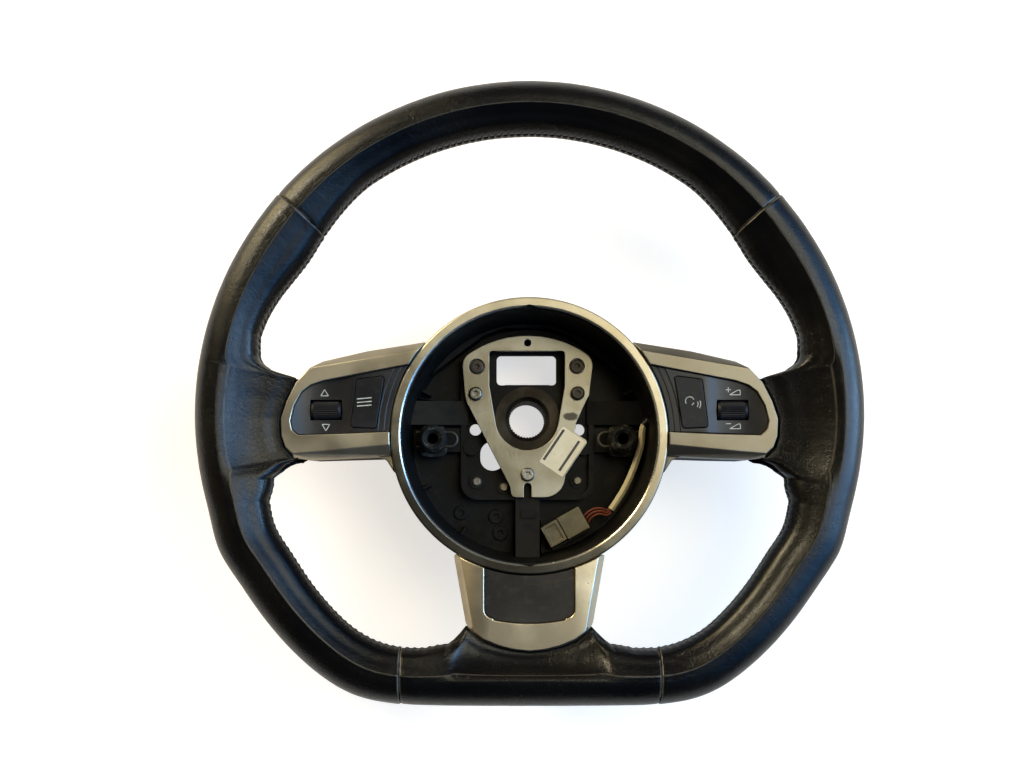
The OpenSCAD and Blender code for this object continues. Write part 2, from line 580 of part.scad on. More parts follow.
// Side trims and their switch packs
module side_hull(i) hull() {
  translate([0, 0, trim_z - (i > 0 ? 2 : 0)]) linear_extrude(height = front_z - facet_h - trim_z - i + (i > 0 ? 2 : 0))
    side_2d(i);
  translate([0, 0, front_z - facet_h]) linear_extrude(height = facet_h - i * 1.4) offset(delta = -i) polygon(side_face);
}
module ring_cut(g) translate([0, -ring_y, 0]) cylinder(r = ring_ro + g, h = 100, $fn = 128);
arm_gap = 1.5;
module arm_cut(l, r, up) translate([r - 12, -notch_w / 2, up ? 0 : line_z(l, r - 9) - arm_t / 2 - arm_gap])
  cube([30, notch_w, up ? line_z(l, r) + arm_t / 2 + arm_gap : big]);
module side_bezel() difference() {
  union() {
    side_hull(0);
    translate([0, 0, trim_z]) linear_extrude(height = front_z - facet_h - trim_z)
      polygon([[-66, -20], [-88, -20], [-84, -23.8], [-79.1, -26.2], [-75.5, -31.9], [-70, -38]]);
  }
  side_hull(trim_t);
  translate([0, 0, trim_z]) linear_extrude(height = 40) polygon(window);
  translate([0, arm_y, 0]) mirror([1, 0, 0]) arm_cut(side_line, side_x, true);
  ring_cut(fit);
}
module left_bezel() color("#a9a79f") side_bezel();
module right_bezel() color("#a9a79f") mirror([1, 0, 0]) side_bezel();

face_z = front_z - face_in;
pack_z = 57;
lift_z = 66;
step_x = -121.6;
skin_z = 2;
roller_at = [-112.5, 1.7];
roller_z = face_z + roller_up - roller_r;
cheek = 1.5;
axle_r = 1.2;
axle_gap = 0.08;
cage_w = roller_w + 2 * slide + 2 * cheek;
cage_h = 2 * roller_r + 1;
button_at = [[-94.1, 17.3], [-82, 18.9], [-86.1, -6.8], [-97.1, -6.3]];
button_rnd = 1.5;
module button_2d(g) hull() for (v = button_at) translate(v) circle(button_rnd + g, $fn = 24);
module pack_2d(i) difference() {
  offset(delta = -i) polygon(window);
  translate([0, -ring_y]) circle(ring_ro + fit * 2, $fn = 128);
}
module switch_housing() difference() {
  union() {
    difference() {
      union() {
        translate([0, 0, lift_z]) linear_extrude(height = face_z - lift_z) pack_2d(fit);
        translate([0, 0, front_z - trim_t * 1.4 - fit - 3]) linear_extrude(height = 3) pack_2d(-1.4);
        intersection() {
          translate([0, 0, pack_z]) linear_extrude(height = lift_z - pack_z + 1) pack_2d(fit);
          translate([step_x, -50, 0]) cube([100, 100, 100]);
        }
      }
      translate([0, 0, lift_z + 1.4]) linear_extrude(height = face_z - skin_z - lift_z - 1.4) pack_2d(fit + 1.6);
      intersection() {
        linear_extrude(height = face_z - skin_z) pack_2d(fit + 1.6);
        translate([step_x + 1.6, -50, 0]) cube([100, 100, 100]);
      }
    }
    translate([roller_at[0], roller_at[1], 60 + (face_z - 60) / 2])
      cube([cage_w + 2 * slide + 2.4, cage_h + 2 * slide + 2.4, face_z - 60], center = true);
    translate([0, 0, 64]) linear_extrude(height = face_z - 64) button_2d(2.2);
  }
  translate([roller_at[0], roller_at[1], 50])
    linear_extrude(height = face_z - skin_z - 50) square([cage_w + 2 * slide, cage_h + 2 * slide], center = true);
  translate([roller_at[0], roller_at[1], 50])
    linear_extrude(height = 40) square([roller_w + 2 * slide + 0.4, cage_h - 0.4], center = true);
  translate([0, 0, 50]) linear_extrude(height = face_z - skin_z - 50) button_2d(0.8 + slide);
  translate([0, 0, 50]) linear_extrude(height = 40) button_2d(slide);
  for (g = [[3.4, 1], [6.6, 0.6]]) translate([0, -ring_y, face_z - g[1]])
    cylinder(r = ring_ro + g[0], h = 5, $fn = 128);
}
module left_switch_housing() color("#15161a") switch_housing();
module right_switch_housing() color("#15161a") mirror([1, 0, 0]) switch_housing();

board_t = 1.6;
board_z = pack_z + 0.4;
dome_h = 0.6;
board_top = board_z + board_t;
module button() {
  translate([0, 0, face_z - 4]) linear_extrude(height = 4 + 0.7) button_2d(0);
  translate([0, 0, face_z - skin_z - slide - 1.6]) linear_extrude(height = 1.6) button_2d(0.8);
  translate([-89.8, 5.5, board_top + dome_h + push + 0.2]) cylinder(r = 2.2, h = face_z - 4 - board_top - dome_h - push, $fn = 32);
}
module mode_button() color("#1a1b1f") button();
module voice_button() color("#1a1b1f") mirror([1, 0, 0]) button();

module roller() translate([roller_at[0], roller_at[1], roller_z]) rotate([0, 90, 0]) {
  linear_extrude(height = roller_w - 3, center = true) polygon([for (i = [0:2 * ribs - 1])
    let (a = 180 * i / ribs, r = i % 2 ? roller_r : roller_r - 0.45) [r * cos(a), r * sin(a)]]);
  for (s = [0, 1]) mirror([0, 0, s]) translate([0, 0, roller_w / 2 - 1.5])
    cylinder(r1 = roller_r - 0.1, r2 = roller_r - 0.9, h = 1.5);
  cylinder(r = axle_r, h = roller_w + 2 * slide + 2 * cheek - 0.2, center = true, $fn = 32);
}
module left_roller() color("#101114") roller();
module right_roller() color("#101114") mirror([1, 0, 0]) roller();

cage_top = face_z - skin_z - slide;
cage_low = board_top + dome_h + press + 0.2;
module carrier() difference() {
  translate([roller_at[0], roller_at[1], cage_low + (cage_top - cage_low) / 2]) difference() {
    cube([cage_w, cage_h, cage_top - cage_low], center = true);
    translate([0, 0, 1.6]) cube([roller_w + 2 * slide, cage_h + 1, cage_top - cage_low], center = true);
  }
  translate([roller_at[0], roller_at[1], roller_z]) rotate([0, 90, 0]) {
    cylinder(r = axle_r + axle_gap, h = cage_w + 1, center = true, $fn = 32);
    cylinder(r = roller_r + slide, h = roller_w + 2 * slide, center = true);
  }
}
module left_carrier() color("#1d1e20") carrier();
module right_carrier() color("#1d1e20") mirror([1, 0, 0]) carrier();

module board() translate([0, 0, board_z]) linear_extrude(height = board_t) intersection() {
  pack_2d(fit + 1.6 + slide);
  translate([step_x + 1.6 + slide, -50]) square([100, 100]);
}
module left_board() color("#2c5a3a") board();
module right_board() color("#2c5a3a") mirror([1, 0, 0]) board();
module domes() for (v = [roller_at, [-89.8, 5.5]]) translate([v[0], v[1], board_top])
  cylinder(r1 = 3, r2 = 2.2, h = dome_h, $fn = 32);
module left_domes() color("#55575a") domes();
module right_domes() color("#55575a") mirror([1, 0, 0]) domes();

// Bottom trim and its dark insert
foot_face = concat([for (e = foot_half) [e[0] + (e[1] > 12 - foot_y ? 3.6 : 1.6), e[1] + (e[1] > 12 - foot_y ? 0 : 0.8)]],
  [[0, 0.8 - foot_y]], [for (i = [len(foot_half) - 1:-1:0]) let (e = foot_half[i])
  [-e[0] - (e[1] > 12 - foot_y ? 3.6 : 1.6), e[1] + (e[1] > 12 - foot_y ? 0 : 0.8)]]);
module foot_hull(i) hull() {
  translate([0, 0, trim_z - (i > 0 ? 2 : 0)]) linear_extrude(height = front_z - facet_h - trim_z - i + (i > 0 ? 2 : 0))
    foot_2d(i);
  translate([0, 0, front_z - facet_h]) linear_extrude(height = facet_h - i * 1.4) offset(delta = -i) polygon(foot_face);
}
insert_rnd = 5;
module insert_2d(g) difference() {
  union() {
    translate([-insert_x - g, -insert_y + insert_rnd + 3]) square([2 * (insert_x + g), 60]);
    intersection() {
      translate([-insert_x - g, -insert_y - g]) square([2 * (insert_x + g), 20]);
      translate([0, 99 - insert_y]) circle(99 + g, $fn = 128);
      union() {
        for (s = [-1, 1]) translate([s * (insert_x - insert_rnd), insert_rnd + 3 - insert_y]) circle(insert_rnd + g);
        translate([insert_rnd - insert_x, -insert_y - 5]) square([2 * (insert_x - insert_rnd), 40]);
      }
    }
  }
}
module bottom_bezel() color("#b1aea4") difference() {
  foot_hull(0);
  foot_hull(trim_t);
  translate([0, 0, trim_z]) linear_extrude(height = 40) insert_2d(0);
  rotate([0, 0, -90]) arm_cut(foot_line, foot_y, true);
  ring_cut(fit);
}
module bottom_insert() color("#1b1a16") difference() {
  union() {
    translate([0, 0, 66]) linear_extrude(height = front_z - 1.2 - 66) insert_2d(-fit);
    translate([0, 0, front_z - trim_t * 1.4 - fit - 3]) linear_extrude(height = 3) intersection() {
      insert_2d(1.6);
      translate([-40, -insert_y - 1.6]) square([80, insert_y - ring_y - ring_ro + 1.6]);
    }
  }
  ring_cut(fit * 2);
  translate([0, 0, 66 - 1]) linear_extrude(height = front_z - 1.2 - 66 - 1) insert_2d(-2);
  translate([0, -ring_y, front_z - 1.2 - 0.8]) cylinder(r = ring_ro + 5, h = 5, $fn = 128);
}

// Lead from the right switch pack to the plug in the hub well
grommet_at = [68.6, -3.4, 46.4];
grommet_turn = 45;
lead_path = [[70.4, -1.6, 46.4], [68.6, -3.4, 46.4], [66.6, -5.4, 46.3], [65.9, -9.5, 45.6], [65.8, -14, 44.4],
  [64.6, -20, 42.8], [61, -31, 40], [56, -42, 37.8], [49, -53, 36]];
wire_path = [[48.5, -53.8, 36], [46.2, -55, 36], [43, -54, 36.5], [39, -54.5, 36.4], [35.6, -57, 35], [33.8, -59.6, 34]];
function unit(v) = v / norm(v);
function tan_at(path, i) = unit(path[min(i + 1, len(path) - 1)] - path[max(i - 1, 0)]);
function rope(path, r, m) = [for (i = [0:len(path) - 1]) let (d = tan_at(path, i), u = unit(cross(d, [0, 0, 1])),
  v = cross(u, d)) each [for (j = [0:m - 1]) path[i] + r * (u * cos(360 * j / m) + v * sin(360 * j / m))]];
function rope_faces(c, m) = concat(side_faces(c, m, false),
  [[for (j = [0:m - 1]) j]], [[for (j = [m - 1:-1:0]) (c - 1) * m + j]]);
function bez(p, t) = let (k = len(p) - 1, i = min(floor(t * k), k - 1), f = t * k - i,
  a = p[max(i - 1, 0)], b = p[i], c = p[i + 1], d = p[min(i + 2, k)])
  0.5 * (2 * b + (c - a) * f + (2 * a - 5 * b + 4 * c - d) * f * f + (3 * b - a - 3 * c + d) * f * f * f);
module tube(path, r, m, c) polyhedron(points = rope([for (i = [0:c]) bez(path, i / c)], r, m),
  faces = rope_faces(c + 1, m), convexity = 8);
module lead() color("#d8cba6") tube(lead_path, lead_d / 2, 8, 18);
wire_step = 1.3;
wire_fan = 0.9;
module lead_wires() color("#8a3322") for (s = [-1, 0, 1])
  tube([for (i = [0:len(wire_path) - 1]) wire_path[i] + s * (wire_step + wire_fan * i / (len(wire_path) - 1))
    * unit(cross(tan_at(wire_path, i), [0, 0, 1]))], wire_d / 2 - 0.15, 8, 12);
module lead_grommet() color("#1f2023") translate(grommet_at) rotate([0, 90, grommet_turn]) difference() {
  cylinder(r = lead_d / 2 + 1.2, h = 5, center = true);
  cylinder(r = lead_d / 2 + fit / 2, h = 20, center = true);
}

plug_at = [21.8, -63.6];
plug_turn = 29;
plug_z = base_z + 3.5;
module at_plug() translate([plug_at[0], plug_at[1], 0]) rotate([0, 0, plug_turn]) children();
module connector() color("#8c8468") at_plug() translate([0, 0, plug_z]) difference() {
  union() {
    translate([-1.6, -7, 0]) cube([14.4, 14, 8.6]);
    translate([-12.6, -6.6, 0]) cube([10.6, 13.2, 7.8]);
    translate([-3, -5, 1]) cube([3, 10, 5]);
  }
  translate([-10.6, -4.8, 7.1]) cube([6.6, 9.6, 2]);
  translate([10.4, -5.6, 1.6]) cube([4, 11.2, 5.4]);
}
module connector_holder() color("#0f1011") at_plug() difference() {
  union() {
    translate([-12.6, -8, base_z + fit]) cube([25.4, 15, plug_z - base_z - 2 * fit]);
    translate([-12.6, -8.6, base_z + fit]) cube([25.4, 1.3, plug_z - base_z + 5]);
  }
  translate([-8, -4, base_z]) cube([16, 8, 8]);
}

// Plain sticker on the shield plate
label_at = [20.4, -19.4];
label_turn = 56;
label_l = 24.8;
label_w = 16.2;
label_rnd = 1;
module label_2d(g) translate(label_at) rotate(label_turn)
  rounded(-label_l / 2 - g, label_l / 2 + g, -label_w / 2 - g, label_w / 2 + g, label_rnd + g);
module label() color("#e9e9e4") translate([0, 0, plate_z + plate_t]) linear_extrude(height = 0.15) label_2d(0);

armature();
spline_hub();
shield_plate();
plate_screws();
dark_screws();
rivets();
catch_sockets();
catch_springs();
hub_tub();
rear_cover();
left_spoke_cover();
right_spoke_cover();
bottom_spoke_cover();
cover_screws();
centre_ring();
left_bezel();
right_bezel();
bottom_bezel();
bottom_insert();
left_switch_housing();
right_switch_housing();
mode_button();
voice_button();
left_roller();
right_roller();
left_carrier();
right_carrier();
left_board();
right_board();
left_domes();
right_domes();
rim_foam();
leather_top();
leather_left();
leather_right();
leather_bottom();
lead_grommet();
lead();
lead_wires();
connector();
connector_holder();
label();
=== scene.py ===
"""A flat-bottomed leather steering wheel with its cover module taken out, lying face up on a pale table."""
import functools
import math
import random

import bmesh
import bpy
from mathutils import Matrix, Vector, noise


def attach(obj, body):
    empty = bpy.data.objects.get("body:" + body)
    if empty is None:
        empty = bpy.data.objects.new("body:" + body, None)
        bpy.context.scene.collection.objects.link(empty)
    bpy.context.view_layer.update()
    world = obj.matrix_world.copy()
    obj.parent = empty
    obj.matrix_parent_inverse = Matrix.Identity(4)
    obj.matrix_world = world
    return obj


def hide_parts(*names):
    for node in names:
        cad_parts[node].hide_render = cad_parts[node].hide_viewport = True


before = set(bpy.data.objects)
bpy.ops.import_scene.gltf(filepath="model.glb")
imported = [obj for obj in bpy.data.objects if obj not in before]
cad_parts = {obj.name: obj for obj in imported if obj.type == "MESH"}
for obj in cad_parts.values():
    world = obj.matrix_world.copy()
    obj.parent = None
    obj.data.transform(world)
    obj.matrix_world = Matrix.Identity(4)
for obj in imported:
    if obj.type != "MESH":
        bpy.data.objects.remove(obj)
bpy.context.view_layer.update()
scene = bpy.context.scene
MM = 0.001

# Camera, lamps and table
# The wheel lies face up on a white table and is seen from straight above. A warm lamp stands to its
# upper left and a cool daylight window to its right, with a pale ceiling between them.
eye = bpy.data.objects.new("eye", bpy.data.cameras.new("eye"))
scene.collection.objects.link(eye)
eye.location = (-0.019, -0.056, 0.722)
eye.rotation_euler = (math.radians(1.37), 0, 0)
eye.data.sensor_width = 36
eye.data.lens = 41.25
eye.data.shift_x = 0.0166
eye.data.shift_y = 0.100
eye.data.clip_start = 0.01
scene.camera = eye
scene.view_settings.view_transform = "Standard"


def lamp(name, at, aim, size, power, colour):
    """A square soft lamp at one place, turned towards another."""
    light = bpy.data.lights.new(name, "AREA")
    light.shape = "RECTANGLE"
    light.size, light.size_y = size
    light.energy, light.color = power, colour
    holder = bpy.data.objects.new(name, light)
    holder.location = at
    holder.rotation_euler = (Vector(aim) - Vector(at)).to_track_quat("-Z", "Y").to_euler()
    scene.collection.objects.link(holder)


lamp("lamp_key", (-0.80, 0.80, 0.75), (0, 0, 0.05), (0.35, 0.35), 9.5, (1.0, 0.88, 0.64))
lamp("lamp_window", (1.00, 0.05, 0.75), (0, 0, 0.05), (0.5, 0.8), 4.5, (0.84, 0.92, 1.0))

world = bpy.data.worlds.new("room")
scene.world = world
world.use_nodes = True
sky = world.node_tree.nodes
sky_links = world.node_tree.links
sky.clear()


def sky_patch(towards, narrow, wide, colour, strength):
    """A soft bright patch of the room: full within one angle of a direction, gone past another."""
    turn = sky.new("ShaderNodeVectorMath")
    turn.operation = "DOT_PRODUCT"
    sky_links.new(sky_way.outputs["Generated"], turn.inputs[0])
    turn.inputs[1].default_value = Vector(towards).normalized()
    fall = sky.new("ShaderNodeMapRange")
    fall.interpolation_type = "SMOOTHSTEP"
    sky_links.new(turn.outputs["Value"], fall.inputs[0])
    fall.inputs[1].default_value = math.cos(math.radians(wide))
    fall.inputs[2].default_value = math.cos(math.radians(narrow))
    fall.inputs[4].default_value = strength
    glow = sky.new("ShaderNodeBackground")
    glow.inputs["Color"].default_value = (*colour, 1)
    sky_links.new(fall.outputs[0], glow.inputs["Strength"])
    return glow.outputs[0]


sky_way = sky.new("ShaderNodeTexCoord")
room_base = sky.new("ShaderNodeBackground")
room_base.inputs["Color"].default_value = (1.0, 0.97, 0.93, 1)
room_base.inputs["Strength"].default_value = 0.05
room_sum = room_base.outputs[0]
for patch in (((0.42, 0.31, 1), 8, 22, (1.0, 0.90, 0.60), 5.0),
              ((1, 0.05, 0.60), 15, 42, (0.08, 0.42, 1.0), 3.5),
              ((-0.50, 0.42, 0.77), 2, 14, (1.0, 0.80, 0.28), 0.9),
              ((1, 0.10, 0.18), 5, 16, (0.42, 0.70, 1.0), 11.0),
              ((-1, 1, 0.28), 6, 17, (1.0, 0.80, 0.40), 13.0),
              ((-1, -0.05, 0.46), 8, 26, (1.0, 0.72, 0.30), 0.25),
              ((-0.1, 1, 0.7), 10, 36, (1.0, 0.90, 0.70), 0.15)):
    joined = sky.new("ShaderNodeAddShader")
    sky_links.new(room_sum, joined.inputs[0])
    sky_links.new(sky_patch(*patch), joined.inputs[1])
    room_sum = joined.outputs[0]
room_white = sky.new("ShaderNodeBackground")
room_white.inputs["Color"].default_value = (1, 1, 1, 1)
room_ray = sky.new("ShaderNodeLightPath")
room_mix = sky.new("ShaderNodeMixShader")
room_out = sky.new("ShaderNodeOutputWorld")
sky_links.new(room_ray.outputs["Is Camera Ray"], room_mix.inputs[0])
sky_links.new(room_sum, room_mix.inputs[1])
sky_links.new(room_white.outputs[0], room_mix.inputs[2])
sky_links.new(room_mix.outputs[0], room_out.inputs[0])


class Shader:
    """A finish's node tree, or a group's, with short calls for its nodes, links and mixes."""

    def __init__(self, name, group=False):
        if group:
            self.tree = bpy.data.node_groups.new(name, "ShaderNodeTree")
        else:
            self.material = bpy.data.materials.new(name)
            self.material.use_nodes = True
            self.tree = self.material.node_tree
            self.tree.nodes.clear()

    def feed(self, node, key, value):
        number = int(key[1:]) if key[0] == "i" and key[1:].isdigit() else key.replace("_", " ")
        socket = node.inputs[number]
        if isinstance(value, bpy.types.NodeSocket):
            self.tree.links.new(value, socket)
        else:
            socket.default_value = value

    def add(self, kind, **sockets):
        node = self.tree.nodes.new("ShaderNode" + kind)
        for key, value in sockets.items():
            self.feed(node, key, value)
        return node

    def use(self, group, **sockets):
        """Place a shared effect here with this finish's own values."""
        node = self.tree.nodes.new("ShaderNodeGroup")
        node.node_tree = group
        for key, value in sockets.items():
            self.feed(node, key, value)
        return node.outputs

    def math(self, operation, a, b=0.0, c=0.0):
        node = self.add("Math", i0=a, i1=b, i2=c)
        node.operation = operation
        return node.outputs[0]

    def ramp(self, value, low, high, out_low=0.0, out_high=1.0):
        node = self.add("MapRange", i0=value, i1=low, i2=high, i3=out_low, i4=out_high)
        node.interpolation_type = "SMOOTHSTEP"
        return node.outputs[0]

    def mix(self, share, a, b):
        node = self.tree.nodes.new("ShaderNodeMix")
        node.data_type = "RGBA"
        for key, value in (("i0", share), ("i6", a), ("i7", b)):
            self.feed(node, key, value)
        return node.outputs[2]

    def noise(self, where, scale, detail=3.0, rough=0.5):
        node = self.add("TexNoise", Vector=where, Scale=scale, Detail=detail, Roughness=rough)
        return node.outputs["Fac"]

    def cracks(self, where, scale, width):
        """Thin lines between the cells of a pattern, 0 on the line and 1 away from it."""
        cells = self.add("TexVoronoi", Vector=where, Scale=scale)
        cells.feature = "DISTANCE_TO_EDGE"
        return self.ramp(cells.outputs["Distance"], 0.0, width)

    def place(self):
        return self.add("TexCoord").outputs["Object"]

    def split(self, vector):
        return self.add("SeparateXYZ", i0=vector).outputs

    def bump(self, height, depth, strength=1.0):
        return self.add("Bump", Strength=strength, Distance=depth, Height=height).outputs["Normal"]

    def finish(self, colour, roughness, metallic=0.0, normal=None, **sockets):
        skin = self.add("BsdfPrincipled", Base_Color=colour, Roughness=roughness, Metallic=metallic,
                        **sockets)
        if normal:
            self.tree.links.new(normal, skin.inputs["Normal"])
        self.tree.links.new(skin.outputs[0], self.add("OutputMaterial").inputs[0])
        return self.material


def rgb(r, g, b):
    return (r, g, b, 1.0)


def effect(name, inputs, outputs, build):
    """A shared effect: a node group with named inputs and outputs, filled in by build."""
    make = Shader(name, group=True)
    for direction, sockets in (("INPUT", inputs), ("OUTPUT", outputs)):
        for key, kind in sockets.items():
            make.tree.interface.new_socket(name=key, in_out=direction, socket_type="NodeSocket" + kind)
    given = make.tree.nodes.new("NodeGroupInput").outputs
    result = make.tree.nodes.new("NodeGroupOutput").inputs
    for key, value in build(make, given).items():
        make.tree.links.new(value, result[key])
    return make.tree


def build_cloud(make, given):
    cloud = make.ramp(make.noise(given["Where"], given["Scale"], 4.0, 0.55), 0.32, 0.68)
    return {"Colour": make.mix(cloud, given["Low"], given["High"]), "Cloud": cloud}


def build_dust(make, given):
    lint = make.ramp(make.noise(given["Where"], given["Scale"], 6.0, 0.7), 0.50, 0.68)
    lint = make.math("MULTIPLY", lint, given["Amount"])
    return {"Colour": make.mix(lint, given["Under"], given["Dust"]), "Mask": lint}


def build_grain(make, given):
    fine = make.noise(given["Where"], given["Scale"], 2.0)
    cells = make.cracks(given["Where"], given["Cells"], 0.12)
    return {"Height": make.math("ADD", make.math("MULTIPLY", fine, 0.6), make.math("MULTIPLY", cells, 0.4)),
            "Fine": fine}


WHERE = {"Where": "Vector", "Scale": "Float"}
cloud_tone = effect("clouded tone", {**WHERE, "Low": "Color", "High": "Color"},
                    {"Colour": "Color", "Cloud": "Float"}, build_cloud)
dusting = effect("dust and stains", {**WHERE, "Amount": "Float", "Under": "Color", "Dust": "Color"},
                 {"Colour": "Color", "Mask": "Float"}, build_dust)
fine_grain = effect("fine grain", {**WHERE, "Cells": "Float"},
                    {"Height": "Float", "Fine": "Float"}, build_grain)


def table_finish():
    make = Shader("table")
    shade = make.add("BsdfDiffuse", Color=rgb(0.70, 0.62, 0.53))
    ray = make.add("LightPath")
    share = make.math("ADD", make.math("MULTIPLY", ray.outputs["Is Camera Ray"], 0.64),
                      make.math("MULTIPLY", ray.outputs["Is Glossy Ray"], 0.16))
    lift = make.add("Emission", Color=rgb(1, 1, 1), Strength=share)
    both = make.add("AddShader", i0=shade.outputs[0], i1=lift.outputs[0])
    make.tree.links.new(both.outputs[0], make.add("OutputMaterial").inputs[0])
    return make.material


top = bmesh.new()
bmesh.ops.create_grid(top, x_segments=1, y_segments=1, size=4.0)
bmesh.ops.translate(top, verts=top.verts, vec=(0, 0, -0.0004))
table_mesh = bpy.data.meshes.new("table")
top.to_mesh(table_mesh)
table = bpy.data.objects.new("table", table_mesh)
table.data.materials.append(table_finish())
scene.collection.objects.link(table)

# Leather of the rim
# Four panels of smooth black leather are glued over the foam and laced along the inner edge.
# The hide is thin, lighter along the crest as wear and as a painted highlight, and shows its grain where
# the thumbs rest.
RIM_Z, HALF_DEPTH = 72.0, 17.0
LIP_UP, LIP_DOWN, LACED_GAP = 4.5, 26, 0.3
FLAT_Y, RIM_R, BLEND = 161.5, 185.0, 30
WIDTHS = [(0, 29.5), (36, 29.5), (42, 31.6), (50, 34.68), (55, 36.5), (60, 35.1), (65, 32.3),
          (70, 30.2), (76, 29.5), (106, 34), (120, 33), (140, 31.5), (150, 33), (158, 34), (180, 33)]
OUTS = [(0, 14.75), (100, 14.75), (115, 16.5)]
OPENING = [(0, 0), (74, 0), (76.1, 0.035), (78.4, 0.09), (79.4, 0.18), (80.3, 0.36), (80.75, 0.56),
           (81.1, 0.8), (81.4, 1), (101.2, 1), (101.6, 0.74), (102, 0.52), (102.7, 0.32), (104.1, 0.1),
           (108.5, 0), (156, 0), (160.5, 0.06), (162.3, 0.22), (163, 0.42), (163.4, 0.66), (163.8, 0.9),
           (164.4, 1), (180, 1)]
SIDE_EDGE = [(-57.9, 39.9), (-89.6, 34.9), (-114.4, 29.2), (-122.2, 25.3), (-129.2, 17.6), (-134.5, 7),
             (-137.7, -2.9), (-137.3, -13.5), (-134.9, -20.6), (-130.6, -24.5), (-120.8, -25.5),
             (-101.7, -24.8), (-84, -23.8), (-66, -23)]
FOOT_EDGE = [(-41.8, -78.6), (-38.9, -84.8), (-36.6, -89.4), (-35.5, -95), (-34.9, -105.1), (-35.3, -115.7),
             (-32.5, -120.7), (-26.8, -125.3), (-18.3, -128.8), (-9.9, -130.9), (0, -131.8)]
FOOT_EDGE += [(-x, y) for x, y in FOOT_EDGE[-2::-1]]


def along(table_, q):
    """Value of a table of (angle, value) pairs at an angle, straight between its pairs."""
    for (a, u), (b, v) in zip(table_, table_[1:]):
        if q <= b:
            return u + (v - u) * max(0.0, (q - a) / (b - a))
    return table_[-1][1]


def eased(table_, q, reach=2.0):
    """The same, averaged over a few degrees so that the corners of the table are rounded."""
    return sum(along(table_, max(0.0, q + d * reach)) for d in (-1, -0.5, 0, 0.5, 1)) / 5


def outer(q):
    flat = FLAT_Y / math.cos(math.radians(180 - q)) if q > 100 else RIM_R * 10
    return (RIM_R ** -BLEND + flat ** -BLEND) ** (-1 / BLEND) + 2.3 * math.exp(-((q - 114) / 5) ** 2)


def reach(q):
    """Radius at which the leather meets the edge of a trim, with its small gap."""
    pts = SIDE_EDGE if q < 130 else FOOT_EDGE
    dx, dy = -math.sin(math.radians(q)), math.cos(math.radians(q))
    best = 0.0
    for (ax, ay), (bx, by) in zip(pts, pts[1:]):
        ex, ey = bx - ax, by - ay
        den = dx * ey - dy * ex
        if abs(den) > 1e-9:
            s, u = (ax * ey - ay * ex) / den, (ax * dy - ay * dx) / den
            if 0 <= u <= 1 and s > best:
                best = s
    return best + 0.8


def spoke_fall(c):
    """Height left at a share c of the way from the crest to a side trim, where the hide falls away."""
    return max(0.0, 1 - c) ** 1.4


def rim_point(p, t):
    """Point of the rim's skin: p is the angle from 12 o'clock, t the angle round the section."""
    q = abs(p)
    rim, out, w = outer(q), eased(OUTS, q), along(OPENING, q)
    inner = rim - eased(WIDTHS, q)
    if w > 0:
        inner += (reach(q) - inner) * w
    mid = rim - out
    c, s = math.cos(math.radians(t)), math.sin(math.radians(abs(t)))
    if abs(t) <= 90:
        r, z = mid + out * c, math.copysign(HALF_DEPTH * s, t)
    else:
        lip = w * LIP_UP + (1 - w) * LACED_GAP if t > 0 else -w * LIP_DOWN - (1 - w) * LACED_GAP
        top = math.copysign(HALF_DEPTH, t)
        if t > 0:
            s += w * (spoke_fall(-c) - s)
        r, z = mid + (mid - inner) * c, lip + (top - lip) * s
    a = math.radians(90 + p)
    return Vector((r * math.cos(a), r * math.sin(a), RIM_Z + z)) * MM


def bell(x, middle, spread):
    return math.exp(-((x - middle) / spread) ** 2)


STITCH = 3.7
CREST_AT, SHEET_TURN = 97, 359.8
SEAM_TOP, SEAM_LOW, SEAM_X = 49.0, 153.4, 71.0


def arc_mm(q):
    """Length along the laced edge from 12 o'clock, near enough to space the stitches."""
    return math.radians(q) * (155.5 if q < 140 else 148.0)


def hide_rise(p, t, ends):
    """How far the leather stands from its plain section: crest, thumb hollow, seam and worn ends."""
    q = abs(p)
    w = along(OPENING, q)
    rise = 0.50 * bell(t, CREST_AT, 3.6) + 0.25 * bell(t, 92, 14)
    rise += -0.8 * bell(t, 119, 12) * (1 - 0.6 * w) + 0.3 * bell(t, 140, 8)
    rise -= 0.9 * bell(abs(t), 180, 4.5) * (1 - w)
    pull = 0.5 + 0.5 * math.cos(2 * math.pi * arc_mm(q) / STITCH)
    rise -= 0.32 * pull * bell(abs(t), 170, 9) * (1 - w)
    for end, proud in ends:
        arc = abs(p - (square_seam(end, t) if abs(end) > 100 else end)) * 3.0
        rise += proud * math.exp(-arc / 2.2) - (0.45 if proud > 0 else 0.25) * math.exp(-((arc / 0.5) ** 2))
    return rise


@functools.lru_cache(maxsize=None)
def seam_turn(t):
    """How far a low seam is turned at one place round the section to keep its distance from the middle."""
    low, high = 146.0, 161.0
    while high - low > 0.02:
        middle = (low + high) / 2
        low, high = (middle, high) if rim_point(-middle, t).x > SEAM_X * MM else (low, middle)
    return low - SEAM_LOW


def square_seam(p, t):
    """Turn the rows near the low seams so that the seam runs straight across the flat of the rim."""
    turn = seam_turn(t) * math.exp(-(((abs(p) - SEAM_LOW) / 6) ** 2))
    return p + (turn if p > 0 else -turn)


